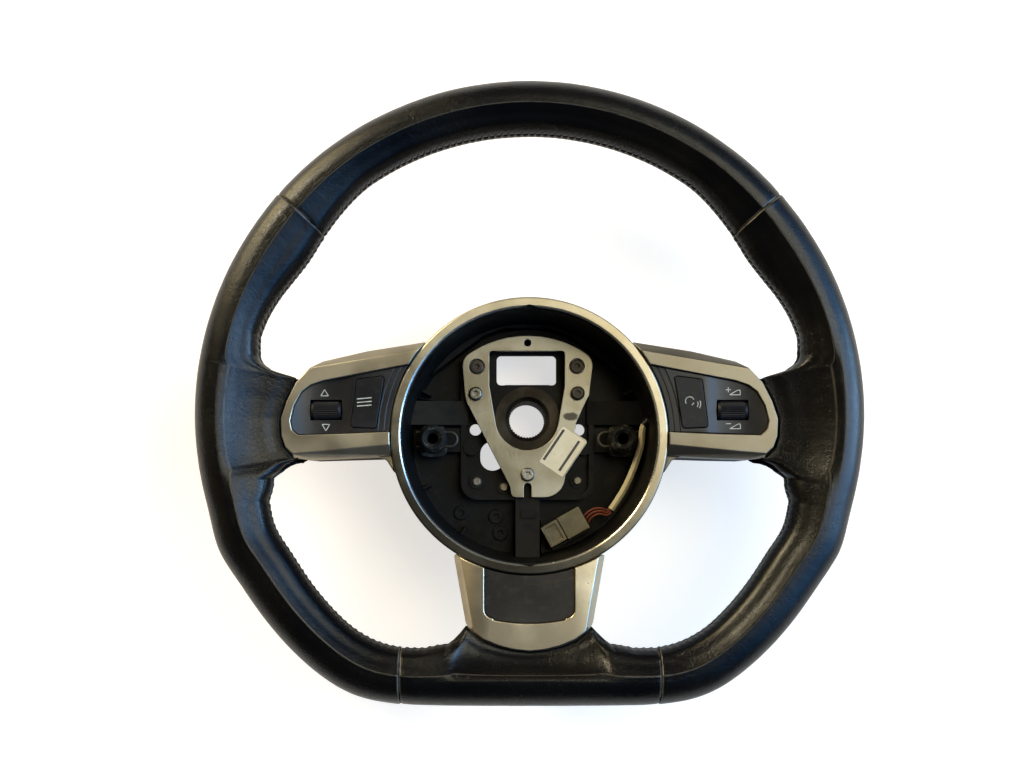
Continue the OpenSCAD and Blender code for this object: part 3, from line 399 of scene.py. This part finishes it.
def panel(name, start, stop, node, finish, proud=(-0.3, -0.3)):
    """One leather panel between two seams, laid round the foam as a sheet and given its thickness."""
    rows = int(abs(stop - start) / 0.27)
    bm = bmesh.new()
    bmesh.ops.create_grid(bm, x_segments=rows, y_segments=104, size=0.5, calc_uvs=False)
    uv = bm.loops.layers.uv.new("UVMap")
    mark = {}
    for v in bm.verts:
        a, b = v.co.x + 0.5, v.co.y + 0.5
        a -= 0.012 * math.sin(2 * math.pi * a)
        p = start + (stop - start) * a
        p = p - 360 if p > 180 else p
        t = SHEET_TURN / 2 - SHEET_TURN * b
        p = square_seam(p, t)
        v.co = rim_point(p, t)
        mark[v] = (min(a, 1 - a) * abs(stop - start) * 3.0, b, p, t)
    for f in bm.faces:
        for loop in f.loops:
            loop[uv].uv = mark[loop.vert][:2]
    bm.normal_update()
    bm.faces.ensure_lookup_table()
    probe = bm.faces[len(bm.faces) // 2]
    ring = probe.calc_center_median()
    axis_point = Vector((ring.x, ring.y, 0)).normalized() * 0.17 + Vector((0, 0, 0.072))
    if probe.normal.dot(ring - axis_point) < 0:
        bmesh.ops.reverse_faces(bm, faces=bm.faces)
        bm.normal_update()
    moves = []
    ends = [(end if end <= 180 else end - 360, lift) for end, lift in zip((start, stop), proud)]
    for v in bm.verts:
        p, t = mark[v][2:]
        rise = hide_rise(p, t, ends)
        rise += 0.10 * noise.noise(v.co * 60) + 0.05 * noise.noise(v.co * 190)
        moves.append((v, v.normal * rise * MM))
    for v, d in moves:
        v.co += d
    mesh = bpy.data.meshes.new(name)
    bm.to_mesh(mesh)
    mesh.shade_smooth()
    piece = bpy.data.objects.new(name, mesh)
    scene.collection.objects.link(piece)
    wall = piece.modifiers.new("wall", "SOLIDIFY")
    wall.thickness, wall.offset, wall.use_even_offset = 1.1 * MM, -1, False
    mesh.materials.append(finish)
    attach(piece, "wheel")
    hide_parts(node)
    return piece


def leather_finish():
    make = Shader("leather")
    where = make.place()
    to_end, round_it = make.split(make.add("UVMap").outputs[0])[0:2]
    tone = make.use(cloud_tone, Where=where, Scale=22.0,
                    Low=rgb(0.0011, 0.0013, 0.0020), High=rgb(0.0028, 0.0025, 0.0022))
    pores = make.use(fine_grain, Where=where, Scale=1100.0, Cells=900.0)
    folds = make.cracks(where, 330.0, 0.09)
    scuff = make.noise(where, 150.0, 5.0, 0.65)
    # Crest line: the hide is mixed lighter along its crest, partly as wear and partly as a painted
    # highlight.
    crest = make.math("ABSOLUTE", make.math("SUBTRACT", round_it, 0.5 - CREST_AT / SHEET_TURN))
    crest = make.math("MULTIPLY", make.ramp(crest, 0.0040, 0.0006), make.ramp(scuff, 0.28, 0.55, 0.25, 1.0))
    edge = make.math("MULTIPLY", make.ramp(to_end, 1.1, 0.25), make.ramp(scuff, 0.34, 0.56))
    worn = make.math("MAXIMUM", make.math("MULTIPLY", crest, 0.42), edge)
    dust_and_edge_highlight = make.use(dusting, Where=where, Scale=46.0, Amount=0.06, Under=tone["Colour"],
                      Dust=rgb(0.016, 0.013, 0.009))
    colour = make.mix(make.math("MULTIPLY", worn, 0.62), dust_and_edge_highlight["Colour"], rgb(0.15, 0.13, 0.10))
    rough = make.math("ADD", make.ramp(tone["Cloud"], 0.0, 1.0, 0.18, 0.26),
                      make.math("MULTIPLY", pores["Fine"], 0.05))
    grain = make.math("ADD", pores["Height"], make.math("MULTIPLY", folds, 0.5))
    return make.finish(colour, rough, 0.0, make.bump(grain, 0.00009, 0.7), Specular_IOR_Level=0.30)


hide = leather_finish()
panel("leather_top_skin", -SEAM_TOP, SEAM_TOP, "leather_top", hide)
panel("leather_left_skin", SEAM_TOP + 0.08, SEAM_LOW, "leather_left", hide, proud=(0.35, 0.2))
panel("leather_right_skin", -SEAM_LOW, -SEAM_TOP - 0.08, "leather_right", hide, proud=(0.2, 0.35))
panel("leather_bottom_skin", SEAM_LOW + 0.08, 360 - SEAM_LOW - 0.08, "leather_bottom", hide)

# Lacing along the inner edge
# Waxed black thread laces the two leather edges together round the inside of the rim.
# Each stitch is a short slanted loop over the closed edge, pulled down at both ends.
loop = bmesh.new()
bmesh.ops.create_cone(loop, cap_ends=True, segments=6, radius1=1, radius2=1, depth=1)
long_edges = [e for e in loop.edges if abs(e.verts[0].co.z - e.verts[1].co.z) > 0.5]
bmesh.ops.subdivide_edges(loop, edges=long_edges, cuts=5)
loop_mesh = bpy.data.meshes.new("loop")
loop.to_mesh(loop_mesh)


def stitch(bm, a, b, up, radius):
    """One stitch from a to b: a six-sided thread that arches over the seam and dips in at both ends."""
    first = len(bm.verts)
    bm.from_mesh(loop_mesh)
    bm.verts.ensure_lookup_table()
    side = (b - a).normalized().cross(up).normalized()
    for v in bm.verts[first:]:
        f = min(1.0, max(0.0, v.co.z + 0.5))
        lean = (b - a).normalized() + up * (0.54 * math.cos(math.pi * f))
        high = side.cross(lean.normalized())
        thick = radius * (0.55 + 0.45 * math.sin(math.pi * f))
        centre = a.lerp(b, f) + up * (0.62 * MM * math.sin(math.pi * f) - 0.25 * MM)
        v.co = centre + side * (v.co.x * thick) + high * (v.co.y * thick)


def lacing(name, start, stop, finish):
    """A row of stitches over the leather's closed inner edge between two angles."""
    bm = bmesh.new()
    p = start
    rng = random.Random(round(start * 10))
    while p < stop:
        if along(OPENING, abs(p)) < 0.04:
            a, b = rim_point(p, 165.0), rim_point(p + 0.75, -165.0)
            mid = (rim_point(p + 0.4, 179.9) + rim_point(p + 0.4, -179.9)) / 2
            inward = Vector((-mid.x, -mid.y, 0)).normalized()
            stitch(bm, a, b, inward, 0.46 * MM * rng.uniform(0.92, 1.08))
        p += math.degrees(STITCH * MM / rim_point(p, 180).xy.length)
    bmesh.ops.recalc_face_normals(bm, faces=bm.faces)
    mesh = bpy.data.meshes.new(name)
    bm.to_mesh(mesh)
    mesh.shade_smooth()
    piece = bpy.data.objects.new(name, mesh)
    scene.collection.objects.link(piece)
    mesh.materials.append(finish)
    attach(piece, "wheel")


def thread_finish():
    make = Shader("thread")
    where = make.place()
    twist = make.use(fine_grain, Where=where, Scale=2600.0, Cells=1800.0)
    colour = make.mix(twist["Fine"], rgb(0.008, 0.008, 0.010), rgb(0.045, 0.045, 0.048))
    return make.finish(colour, make.ramp(twist["Fine"], 0.3, 0.7, 0.28, 0.48), 0.0,
                       make.bump(twist["Height"], 0.0002, 0.6), Specular_IOR_Level=0.6)


thread = thread_finish()
lacing("lacing_top", -76.0, 76.0, thread)
lacing("lacing_low_left", 104.6, 160.6, thread)
lacing("lacing_low_right", -160.6, -104.6, thread)

# Foam core of the rim
# Grey-black moulded foam is cast round the steel rim under the leather, and shows only
# at the spoke roots and inside the openings from behind.
FOAM_COVER = 1.8


def coat(node, finish):
    """A new finish on a node whose shape stays as it is."""
    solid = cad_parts[node]
    solid.data.materials.clear()
    solid.data.materials.append(finish)


def moulding(name, low, high, rough_low, rough_high, dust=0.0, grain=0.00004, gloss=0.22,
             mote=rgb(0.16, 0.145, 0.12)):
    """Moulded plastic or rubber: a clouded tone, patches of dust and a fine cast grain."""
    make = Shader(name)
    where = make.place()
    tone = make.use(cloud_tone, Where=where, Scale=28.0, Low=low, High=high)
    dusty = make.use(dusting, Where=where, Scale=160.0, Amount=dust, Under=tone["Colour"], Dust=mote)
    fine = make.use(fine_grain, Where=where, Scale=1300.0, Cells=1100.0)
    rough = make.math("ADD", make.ramp(tone["Cloud"], 0.0, 1.0, rough_low, rough_high),
                      make.math("MULTIPLY", make.math("ADD", fine["Fine"], dusty["Mask"]), 0.07))
    return make.finish(dusty["Colour"], rough, 0.0, make.bump(fine["Height"], grain, 0.7),
                       Specular_IOR_Level=gloss)


def dress(node, finish, radius, body="wheel", corner=28, steps=2, clamp=False, shape=None,
          above=None):
    """The node's solid with worn rounded edges, all of them or those above a height, for the node."""
    bm = bmesh.new()
    bm.from_mesh(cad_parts[node].data)
    bmesh.ops.remove_doubles(bm, verts=bm.verts, dist=0.004 * MM)
    bmesh.ops.dissolve_limit(bm, angle_limit=math.radians(1.2), verts=bm.verts, edges=bm.edges)
    if above:
        worn = bm.edges.layers.float.new("bevel_weight_edge")
        for e in bm.edges:
            turned = e.calc_face_angle(0) > math.radians(corner)
            e[worn] = float(turned and min(v.co.z for v in e.verts) > above * MM)
    if shape:
        shape(bm)
    mesh = bpy.data.meshes.new(node + "_skin")
    bm.to_mesh(mesh)
    piece = bpy.data.objects.new(node + "_skin", mesh)
    scene.collection.objects.link(piece)
    mesh.shade_smooth()
    soft = piece.modifiers.new("radius", "BEVEL")
    soft.width, soft.segments, soft.limit_method = radius * MM, steps, "WEIGHT" if above else "ANGLE"
    soft.angle_limit, soft.use_clamp_overlap = math.radians(corner), clamp
    even = piece.modifiers.new("even", "WEIGHTED_NORMAL")
    even.weight = 80
    mesh.materials.clear()
    mesh.materials.append(finish)
    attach(piece, body)
    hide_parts(node)
    return piece


def foam_fall(bm):
    """Keep the foam at the spoke roots well inside the hide, above, below and along the openings."""
    for v in bm.verts:
        q = abs(math.degrees(math.atan2(-v.co.x, v.co.y)))
        r, z = v.co.xy.length / MM, v.co.z / MM - RIM_Z
        if 74 < q < 110 or q > 155:
            w, mid = along(OPENING, q), outer(q) - eased(OUTS, q)
            rim_edge = outer(q) - eased(WIDTHS, q)
            inner = rim_edge + (reach(q) - rim_edge) * w
            if w < 1 and q < 110 and r < inner + FOAM_COVER:
                grow = (inner + FOAM_COVER) / r
                v.co.x, v.co.y, r = v.co.x * grow, v.co.y * grow, r * grow
            c = min(1.0, max(0.0, (mid - r) / (mid - inner)))
            round_off = math.sqrt(1 - c * c)
            over = w * LIP_UP + (1 - w) * LACED_GAP
            over += (HALF_DEPTH - over) * (round_off + w * (spoke_fall(c) - round_off))
            under = -w * LIP_DOWN - (1 - w) * LACED_GAP
            under += (-HALF_DEPTH - under) * round_off
            if r > inner - 1:
                lowest = under + FOAM_COVER if w < 1 else -RIM_Z
                v.co.z = (RIM_Z + max(min(z, over - FOAM_COVER), lowest)) * MM


foam_black = moulding("foam", rgb(0.012, 0.012, 0.013), rgb(0.03, 0.03, 0.03), 0.7, 0.85, 0.1, 0.0003)
dress("rim_foam", foam_black, 0.3, clamp=True, shape=foam_fall)

# Frame casting and steel hub
# The wheel's frame is one magnesium casting, darkened and grimy inside the hub, with windows between
# its ribs. A turned steel hub with a serrated bore is cast into its middle for the column.


def metal(name, low, high, rough_low, rough_high, metallic, stain=0.4, dark=rgb(0.05, 0.04, 0.03),
          gloss=0.3):
    """Worn metal: a clouded tone, dark stains and a fine grain."""
    make = Shader(name)
    where = make.place()
    tone = make.use(cloud_tone, Where=where, Scale=40.0, Low=low, High=high)
    stained = make.use(dusting, Where=where, Scale=85.0, Amount=stain, Under=tone["Colour"], Dust=dark)
    fine = make.use(fine_grain, Where=where, Scale=800.0, Cells=500.0)
    rough = make.math("ADD", make.ramp(tone["Cloud"], 0.0, 1.0, rough_low, rough_high),
                      make.math("MULTIPLY", make.math("ADD", fine["Fine"], stained["Mask"]), 0.08))
    return make.finish(stained["Colour"], rough, metallic, make.bump(fine["Height"], 0.00005, 0.5),
                       Specular_IOR_Level=gloss)


cast = metal("casting", rgb(0.0018, 0.0017, 0.0014), rgb(0.0085, 0.007, 0.005), 0.40, 0.58, 0.25, 0.7,
             dark=rgb(0.002, 0.0016, 0.0012), gloss=0.2)
turned = metal("turned steel", rgb(0.016, 0.012, 0.008), rgb(0.055, 0.043, 0.027), 0.32, 0.48, 0.6, 0.6)
dress("armature", cast, 0.4, corner=35, clamp=True)
dress("spline_hub", turned, 0.12, corner=40, steps=1, clamp=True)

# Shield plate with its screws and rivets
# A pressed plate of zinc-plated sheet is screwed and riveted over the casting's heel. Its brushed
# face carries one dull smear beside the opening, and dark grime where the casting shows through.


def plate_finish():
    make = Shader("shield steel")
    where = make.place()
    tone = make.use(cloud_tone, Where=where, Scale=26.0,
                    Low=rgb(0.31, 0.285, 0.225), High=rgb(0.47, 0.445, 0.37))
    stained = make.use(dusting, Where=where, Scale=60.0, Amount=0.22, Under=tone["Colour"],
                       Dust=rgb(0.14, 0.12, 0.09))
    x, y = make.split(where)[0:2]
    across = make.math("POWER", make.math("DIVIDE", make.math("SUBTRACT", x, 0.0252), 0.0046), 2.0)
    upright = make.math("POWER", make.math("DIVIDE", make.math("SUBTRACT", y, 0.0011), 0.0025), 2.0)
    far = make.math("ADD", make.math("ADD", across, upright), make.noise(where, 400.0, 4.0))
    smear = make.math("MULTIPLY", make.ramp(far, 1.8, 1.0), 0.85)
    colour = make.mix(smear, stained["Colour"], rgb(0.050, 0.041, 0.025))
    drawn = make.add("Mapping", Vector=where, Scale=(1.0, 0.12, 1.0)).outputs[0]
    fine = make.use(fine_grain, Where=drawn, Scale=900.0, Cells=500.0)
    rough = make.math("ADD", make.ramp(tone["Cloud"], 0.0, 1.0, 0.30, 0.40),
                      make.math("MULTIPLY", fine["Fine"], 0.08))
    rough = make.math("ADD", rough, make.math("MULTIPLY", smear, 0.2))
    return make.finish(colour, rough, 1.0, make.bump(fine["Height"], 0.00005, 0.5))


bright = metal("screw steel", rgb(0.22, 0.215, 0.19), rgb(0.36, 0.35, 0.31), 0.26, 0.38, 1.0, 0.4)
dark_steel = metal("dark steel", rgb(0.035, 0.029, 0.023), rgb(0.09, 0.076, 0.06), 0.35, 0.5, 0.8, 0.5)
rivet_grey = metal("rivet metal", rgb(0.17, 0.15, 0.11), rgb(0.30, 0.265, 0.20), 0.4, 0.55, 0.9, 0.5)
dress("shield_plate", plate_finish(), 0.3)
dress("plate_screws", bright, 0.2)
dress("dark_screws", dark_steel, 0.2)
dress("rivets", rivet_grey, 0.2)

# Sticker on the shield plate
# A plain off-white paper sticker lies askew over the plate's lower right tab. Two dark printed bars
# run along it, and the paper has yellowed and picked up grime.


def ink_finish(name, low, high):
    make = Shader(name)
    where = make.place()
    tone = make.use(cloud_tone, Where=where, Scale=300.0, Low=low, High=high)
    return make.finish(tone["Colour"], make.ramp(tone["Cloud"], 0.0, 1.0, 0.45, 0.6))


def slab(bm, a, b, width, low, high):
    """A flat printed bar from a to b, in millimetres, between two heights."""
    way = Vector((b[0] - a[0], b[1] - a[1], 0))
    bar = bmesh.ops.create_cube(bm, size=1.0)["verts"]
    bmesh.ops.scale(bm, verts=bar, vec=(way.length, width, high - low))
    turn = way.to_track_quat("X", "Z").to_matrix()
    bmesh.ops.rotate(bm, verts=bar, matrix=turn)
    bmesh.ops.translate(bm, verts=bar, vec=((a[0] + b[0]) / 2, (a[1] + b[1]) / 2, (low + high) / 2))


def printed(name, bm, finish, body):
    """A printed sign: brings a mesh drawn in millimetres to its place as a piece of its own."""
    bmesh.ops.scale(bm, verts=bm.verts, vec=(MM, MM, MM))
    mesh = bpy.data.meshes.new(name)
    bm.to_mesh(mesh)
    sign = bpy.data.objects.new(name, mesh)
    scene.collection.objects.link(sign)
    mesh.materials.append(finish)
    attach(sign, body)


coat("label", moulding("sticker paper", rgb(0.66, 0.57, 0.39), rgb(0.78, 0.70, 0.51), 0.5, 0.65, 0.25,
                       mote=rgb(0.30, 0.24, 0.15)))
STICKER, STICKER_TURN = (20.4, -19.4), math.radians(56)
bars = bmesh.new()
for off, start, stop in ((6.5, -10.2, 11.0), (-4.6, -10.4, 10.5)):
    ends = [(STICKER[0] + u * math.cos(STICKER_TURN) - off * math.sin(STICKER_TURN),
             STICKER[1] + u * math.sin(STICKER_TURN) + off * math.cos(STICKER_TURN)) for u in (start, stop)]
    slab(bars, ends[0], ends[1], 1.5, 39.14, 39.19)
bar_ink = ink_finish("sticker ink", rgb(0.03, 0.028, 0.024), rgb(0.07, 0.06, 0.05))
printed("sticker_bars", bars, bar_ink, "wheel")

# Catch sockets and their springs
# Three moulded sockets stand on the casting to take the hooks of the cover module, and a bent
# wire spring is snapped across each of them.
dusty_black = moulding("socket black", rgb(0.006, 0.006, 0.006), rgb(0.018, 0.017, 0.014), 0.5, 0.65, 0.9,
                       gloss=0.1, mote=rgb(0.12, 0.112, 0.088))
dress("catch_sockets", dusty_black, 0.3)
coat("catch_springs", dark_steel)

# Hub liner
# A thin black moulded tub lines the hub behind the ring, dusty on its floor and open to the casting.
# It is pressed in between the frame casting and the centre ring.
tub_black = moulding("liner black", rgb(0.0012, 0.0016, 0.0024), rgb(0.0030, 0.0028, 0.0024), 0.30, 0.50,
                     dust=0.07, gloss=0.16, mote=rgb(0.07, 0.06, 0.04))
dress("hub_tub", tub_black, 0.35)

# Rear cover with its spoke covers and screws
# The back of the wheel is closed by a black moulded bowl and by one thin shell behind each spoke.
# Each is held from behind by its own dark screw, and all have the same coarse spark grain.
cover_black = moulding("cover black", rgb(0.012, 0.012, 0.013), rgb(0.02, 0.02, 0.021), 0.5, 0.66,
                       dust=0.12, grain=0.00012)
for shell in ("rear_cover", "left_spoke_cover", "right_spoke_cover", "bottom_spoke_cover"):
    dress(shell, cover_black, 0.5, clamp=shell != "rear_cover")
dress("cover_screws", dark_steel, 0.2)

# Centre ring and spoke trims
# The ring and the three spoke trims are plastic mouldings in a pale gold satin paint with metal
# flake. The paint has lifted in small dark pits at the upper right. The ring has painted shade towards
# its lower left and a painted highlight along its inner edge, and each trim has its own tone for how
# light falls on it: the right trim darker as painted shade, the foot trim lighter as painted light.


def build_pits(make, given):
    cells = make.add("TexVoronoi", Vector=given["Where"], Scale=given["Scale"])
    where_worn = make.noise(given["Where"], 14.0, 5.0, 0.62)
    low = make.math("SUBTRACT", given["Share"], 0.05)
    worn = make.add("MapRange", i0=where_worn, i1=low, i2=given["Share"])
    return {"Pit": make.math("MULTIPLY", make.ramp(cells.outputs["Distance"], 0.20, 0.08), worn.outputs[0])}


pitting = effect("paint pits", {**WHERE, "Share": "Float"}, {"Pit": "Float"}, build_pits)


def satin_paint(name, share, low, high, edge=None, shade_toward_lower_left=0.0, crown=0.0):
    """Metal-flake satin paint: pits, a painted highlight on an edge, painted shade towards the lower left,
    and sides turned down.
    """
    make = Shader(name)
    where = make.place()
    tone = make.use(cloud_tone, Where=where, Scale=34.0, Low=low, High=high)
    flake = make.use(fine_grain, Where=where, Scale=1500.0, Cells=1200.0)
    pit = make.use(pitting, Where=where, Scale=330.0, Share=share)["Pit"]
    colour = make.mix(make.math("MULTIPLY", flake["Fine"], 0.25), tone["Colour"], rgb(0.30, 0.26, 0.20))
    side = make.split(where)
    # Painted shade: the paint is mixed darker towards the lower left by its position.
    upward = make.math("ADD", make.math("MULTIPLY", side[0], 0.45), make.math("MULTIPLY", side[1], 0.9))
    upward = make.math("ADD", upward, make.math("MULTIPLY", tone["Cloud"], 0.012))
    colour = make.mix(make.ramp(upward, 0.026, -0.072, 0.0, shade_toward_lower_left), colour, rgb(0.07, 0.066, 0.055))
    colour = make.mix(make.math("MULTIPLY", pit, 0.8), colour, rgb(0.07, 0.055, 0.04))
    rough = make.math("ADD", make.ramp(tone["Cloud"], 0.0, 1.0, 0.29, 0.37),
                      make.math("MULTIPLY", pit, 0.3))
    # Painted highlight: the paint is mixed near white in a thin band along the ring's inner edge.
    if edge:
        y = make.math("SUBTRACT", side[1], edge[0] * MM)
        far = make.math("ADD", make.math("MULTIPLY", side[0], side[0]), make.math("MULTIPLY", y, y))
        far = make.math("SQRT", far)
        dust_and_edge_highlight = make.math("MULTIPLY", make.ramp(far, (edge[1] + 1.0) * MM, (edge[1] + 0.4) * MM), 0.8)
        colour = make.mix(dust_and_edge_highlight, colour, rgb(0.82, 0.80, 0.74))
        rough = make.math("SUBTRACT", rough, make.math("MULTIPLY", dust_and_edge_highlight, 0.12))
    height = make.math("SUBTRACT", make.math("MULTIPLY", flake["Height"], 0.35), pit)
    if crown:
        off = make.math("MAXIMUM", make.math("SUBTRACT", make.math("ABSOLUTE", side[0]), crown), 0.0)
        swell = make.math("MULTIPLY", make.math("MULTIPLY", off, off),
                          make.ramp(side[0], -0.01, 0.01, -17.0, -3.0))
        height = make.math("ADD", make.math("MULTIPLY", height, 0.00004), swell)
        return make.finish(colour, rough, 0.92, make.bump(height, 1.0))
    return make.finish(colour, rough, 0.92, make.bump(height, 0.00006, 0.6))


# The ring carries painted shade towards its lower left and a painted highlight on its inner edge.
ring_paint_shaded_highlit = satin_paint("ring paint shaded and highlit", 0.58, rgb(0.49, 0.43, 0.315), rgb(0.65, 0.585, 0.44),
                         edge=(-12.2, 71.4), shade_toward_lower_left=1.0)
# Each trim has its own paint tone for how light falls on it: the right one darker as painted shade, the
# foot one lighter as painted light.
left_paint = satin_paint("left trim paint", 0.66, rgb(0.40, 0.35, 0.26), rgb(0.53, 0.475, 0.365))
right_paint_shaded = satin_paint("right trim paint shaded", 0.66, rgb(0.165, 0.15, 0.12), rgb(0.23, 0.21, 0.165))
foot_paint_lit = satin_paint("foot trim paint lit", 0.66, rgb(0.66, 0.57, 0.41), rgb(0.84, 0.74, 0.55), crown=0.022)
dress("centre_ring", ring_paint_shaded_highlit, 0.22, steps=3)
dress("left_bezel", left_paint, 0.55, steps=3)
dress("right_bezel", right_paint_shaded, 0.55, steps=3)
dress("bottom_bezel", foot_paint_lit, 0.55, steps=3)

# Switch packs
# Each side spoke holds a soft black pack, dished round a ribbed roller, with a push button beside it.
# Its signs are thin pale print. Behind the face are a green board, its carrier and rubber domes.
soft_black = moulding("soft black", rgb(0.006, 0.006, 0.008), rgb(0.012, 0.011, 0.012), 0.32, 0.44, 0.05)
roller_black = moulding("roller black", rgb(0.005, 0.005, 0.006), rgb(0.010, 0.009, 0.010), 0.35, 0.5, 0.05)
board_green = metal("board green", rgb(0.01, 0.05, 0.025), rgb(0.02, 0.08, 0.04), 0.3, 0.4, 0.0)
FACE_Z, ROLLER_X = 74.5, 112.5


def dish(x):
    """How far the pack's face stands from flat at x: hollow at the roller and rising to both sides."""
    return 0.0075 * max(0.0, abs(abs(x) - ROLLER_X) - 7) ** 2 - 0.45 if 97.5 < abs(x) else 0.0


def hollow(bm):
    """Cut the pack's face into narrow strips and bend them to the dish round the roller."""
    side = 1 if sum(v.co.x for v in bm.verts) > 0 else -1
    for x in range(98, 134, 2):
        whole = bm.verts[:] + bm.edges[:] + bm.faces[:]
        cut = (side * x * MM, 0, 0)
        bmesh.ops.bisect_plane(bm, geom=whole, dist=1e-7, plane_co=cut, plane_no=(1, 0, 0))
    for v in bm.verts:
        if v.co.z > (FACE_Z - 0.3) * MM:
            v.co.z += dish(v.co.x / MM) * MM


def face_finish():
    """Soft black of the pack faces, with the full depth of the hollow in its normal."""
    make = Shader("pack face")
    where = make.place()
    tone = make.use(cloud_tone, Where=where, Scale=28.0,
                    Low=rgb(0.006, 0.006, 0.008), High=rgb(0.013, 0.012, 0.012))
    fine = make.use(fine_grain, Where=where, Scale=1300.0, Cells=1100.0)
    off = make.math("SUBTRACT", make.math("ABSOLUTE", make.split(where)[0]), ROLLER_X * MM)
    off = make.math("SMOOTH_MAX", off, -0.0140, 0.004)
    sunk = make.math("MULTIPLY", make.math("MULTIPLY", off, off), 9.0)
    height = make.math("ADD", sunk, make.math("MULTIPLY", fine["Height"], 0.00003))
    rough = make.math("ADD", make.ramp(tone["Cloud"], 0.0, 1.0, 0.30, 0.40),
                      make.math("MULTIPLY", fine["Fine"], 0.06))
    return make.finish(tone["Colour"], rough, 0.0, make.bump(height, 1.0), Specular_IOR_Level=0.4)


pack_face = face_finish()
for side in ("left", "right"):
    dress(side + "_switch_housing", pack_face, 0.3, shape=hollow, above=68)
    dress(side + "_roller", roller_black, 0.06, side + "_roller", corner=40, steps=1)
    coat(side + "_carrier", soft_black)
    coat(side + "_domes", soft_black)
    coat(side + "_board", board_green)
dress("mode_button", soft_black, 0.35, "mode_button")
dress("voice_button", soft_black, 0.35, "voice_button")


def outline(bm, points, width, face, closed=True):
    """A thin printed line through points, in millimetres, lying on the pack's face."""
    pairs = list(zip(points, points[1:] + points[:1])) if closed else list(zip(points, points[1:]))
    for a, b in pairs:
        low = face + dish((a[0] + b[0]) / 2) + 0.005
        slab(bm, a, b, width, low, low + 0.05)


def arc(x, y, radius, start, stop):
    steps = max(6, int(abs(stop - start) / 15))
    turns = [math.radians(start + (stop - start) * i / steps) for i in range(steps + 1)]
    return [(x + radius * math.cos(t), y + radius * math.sin(t)) for t in turns]


print_grey = ink_finish("sign print", rgb(0.36, 0.35, 0.31), rgb(0.55, 0.54, 0.49))
for name, x, y, way in (("sign_up", -113.3, 11.2, 1), ("sign_down", -112.5, -7.8, -1)):
    tri = bmesh.new()
    outline(tri, [(x - 2.1, y - 1.6 * way), (x + 2.1, y - 1.6 * way), (x, y + 1.9 * way)], 0.42, FACE_Z)
    printed(name, tri, print_grey, "wheel")
for name, y in (("sign_more", 11.4), ("sign_less", -7.4)):
    wedge = bmesh.new()
    outline(wedge, [(110.8, y - 1.2), (116.8, y - 1.2), (116.6, y + 1.5), (115.2, y + 1.3)], 0.42, FACE_Z)
    outline(wedge, [(108.7, y + 1.6), (111.5, y + 1.6)], 0.42, FACE_Z, closed=False)
    if y > 0:
        outline(wedge, [(110.1, y + 0.2), (110.1, y + 3.0)], 0.42, FACE_Z, closed=False)
    printed(name, wedge, print_grey, "wheel")
BUTTON_PRINT = (75.205, 75.255)
menu = bmesh.new()
for row in (-2.0, 0.0, 2.0):
    slab(menu, (-95.2, 5.8 + row), (-87.2, 5.8 + row + 0.7), 0.55, *BUTTON_PRINT)
printed("sign_menu", menu, print_grey, "mode_button")
voice = bmesh.new()
for stroke in (arc(88.6, 6.6, 2.4, 20, 215), arc(88.6, 6.6, 2.4, -62, -20),
               arc(90.6, 5.0, 2.6, -38, 30), arc(90.6, 5.0, 4.0, -34, 26)):
    for a, b in zip(stroke, stroke[1:]):
        slab(voice, a, b, 0.4, *BUTTON_PRINT)
printed("sign_voice", voice, print_grey, "voice_button")

# Bottom spoke's insert
# A brown-black plastic panel with a soft grain is clipped into the bottom trim.
brown_black = moulding("insert black", rgb(0.016, 0.0135, 0.0105), rgb(0.028, 0.023, 0.017), 0.36, 0.48,
                       dust=0.06)
dress("bottom_insert", brown_black, 0.5)

# Lead, plug and plug holder
# A cream-sheathed lead with two red wires comes up through a rubber grommet to an olive plug, which
# sits in a black holder clipped to the casting at the hub's lower right.
plug_olive = moulding("plug olive", rgb(0.055, 0.045, 0.022), rgb(0.125, 0.104, 0.052), 0.26, 0.40,
                      dust=0.2, gloss=0.6, mote=rgb(0.26, 0.23, 0.15))
dress("connector", plug_olive, 0.35)
dress("connector_holder", tub_black, 0.25)
coat("lead", moulding("sheath cream", rgb(0.52, 0.44, 0.26), rgb(0.66, 0.58, 0.38), 0.4, 0.5, 0.1))
coat("lead_wires", moulding("wire red", rgb(0.10, 0.024, 0.013), rgb(0.19, 0.048, 0.026), 0.35, 0.45))
coat("lead_grommet", tub_black)
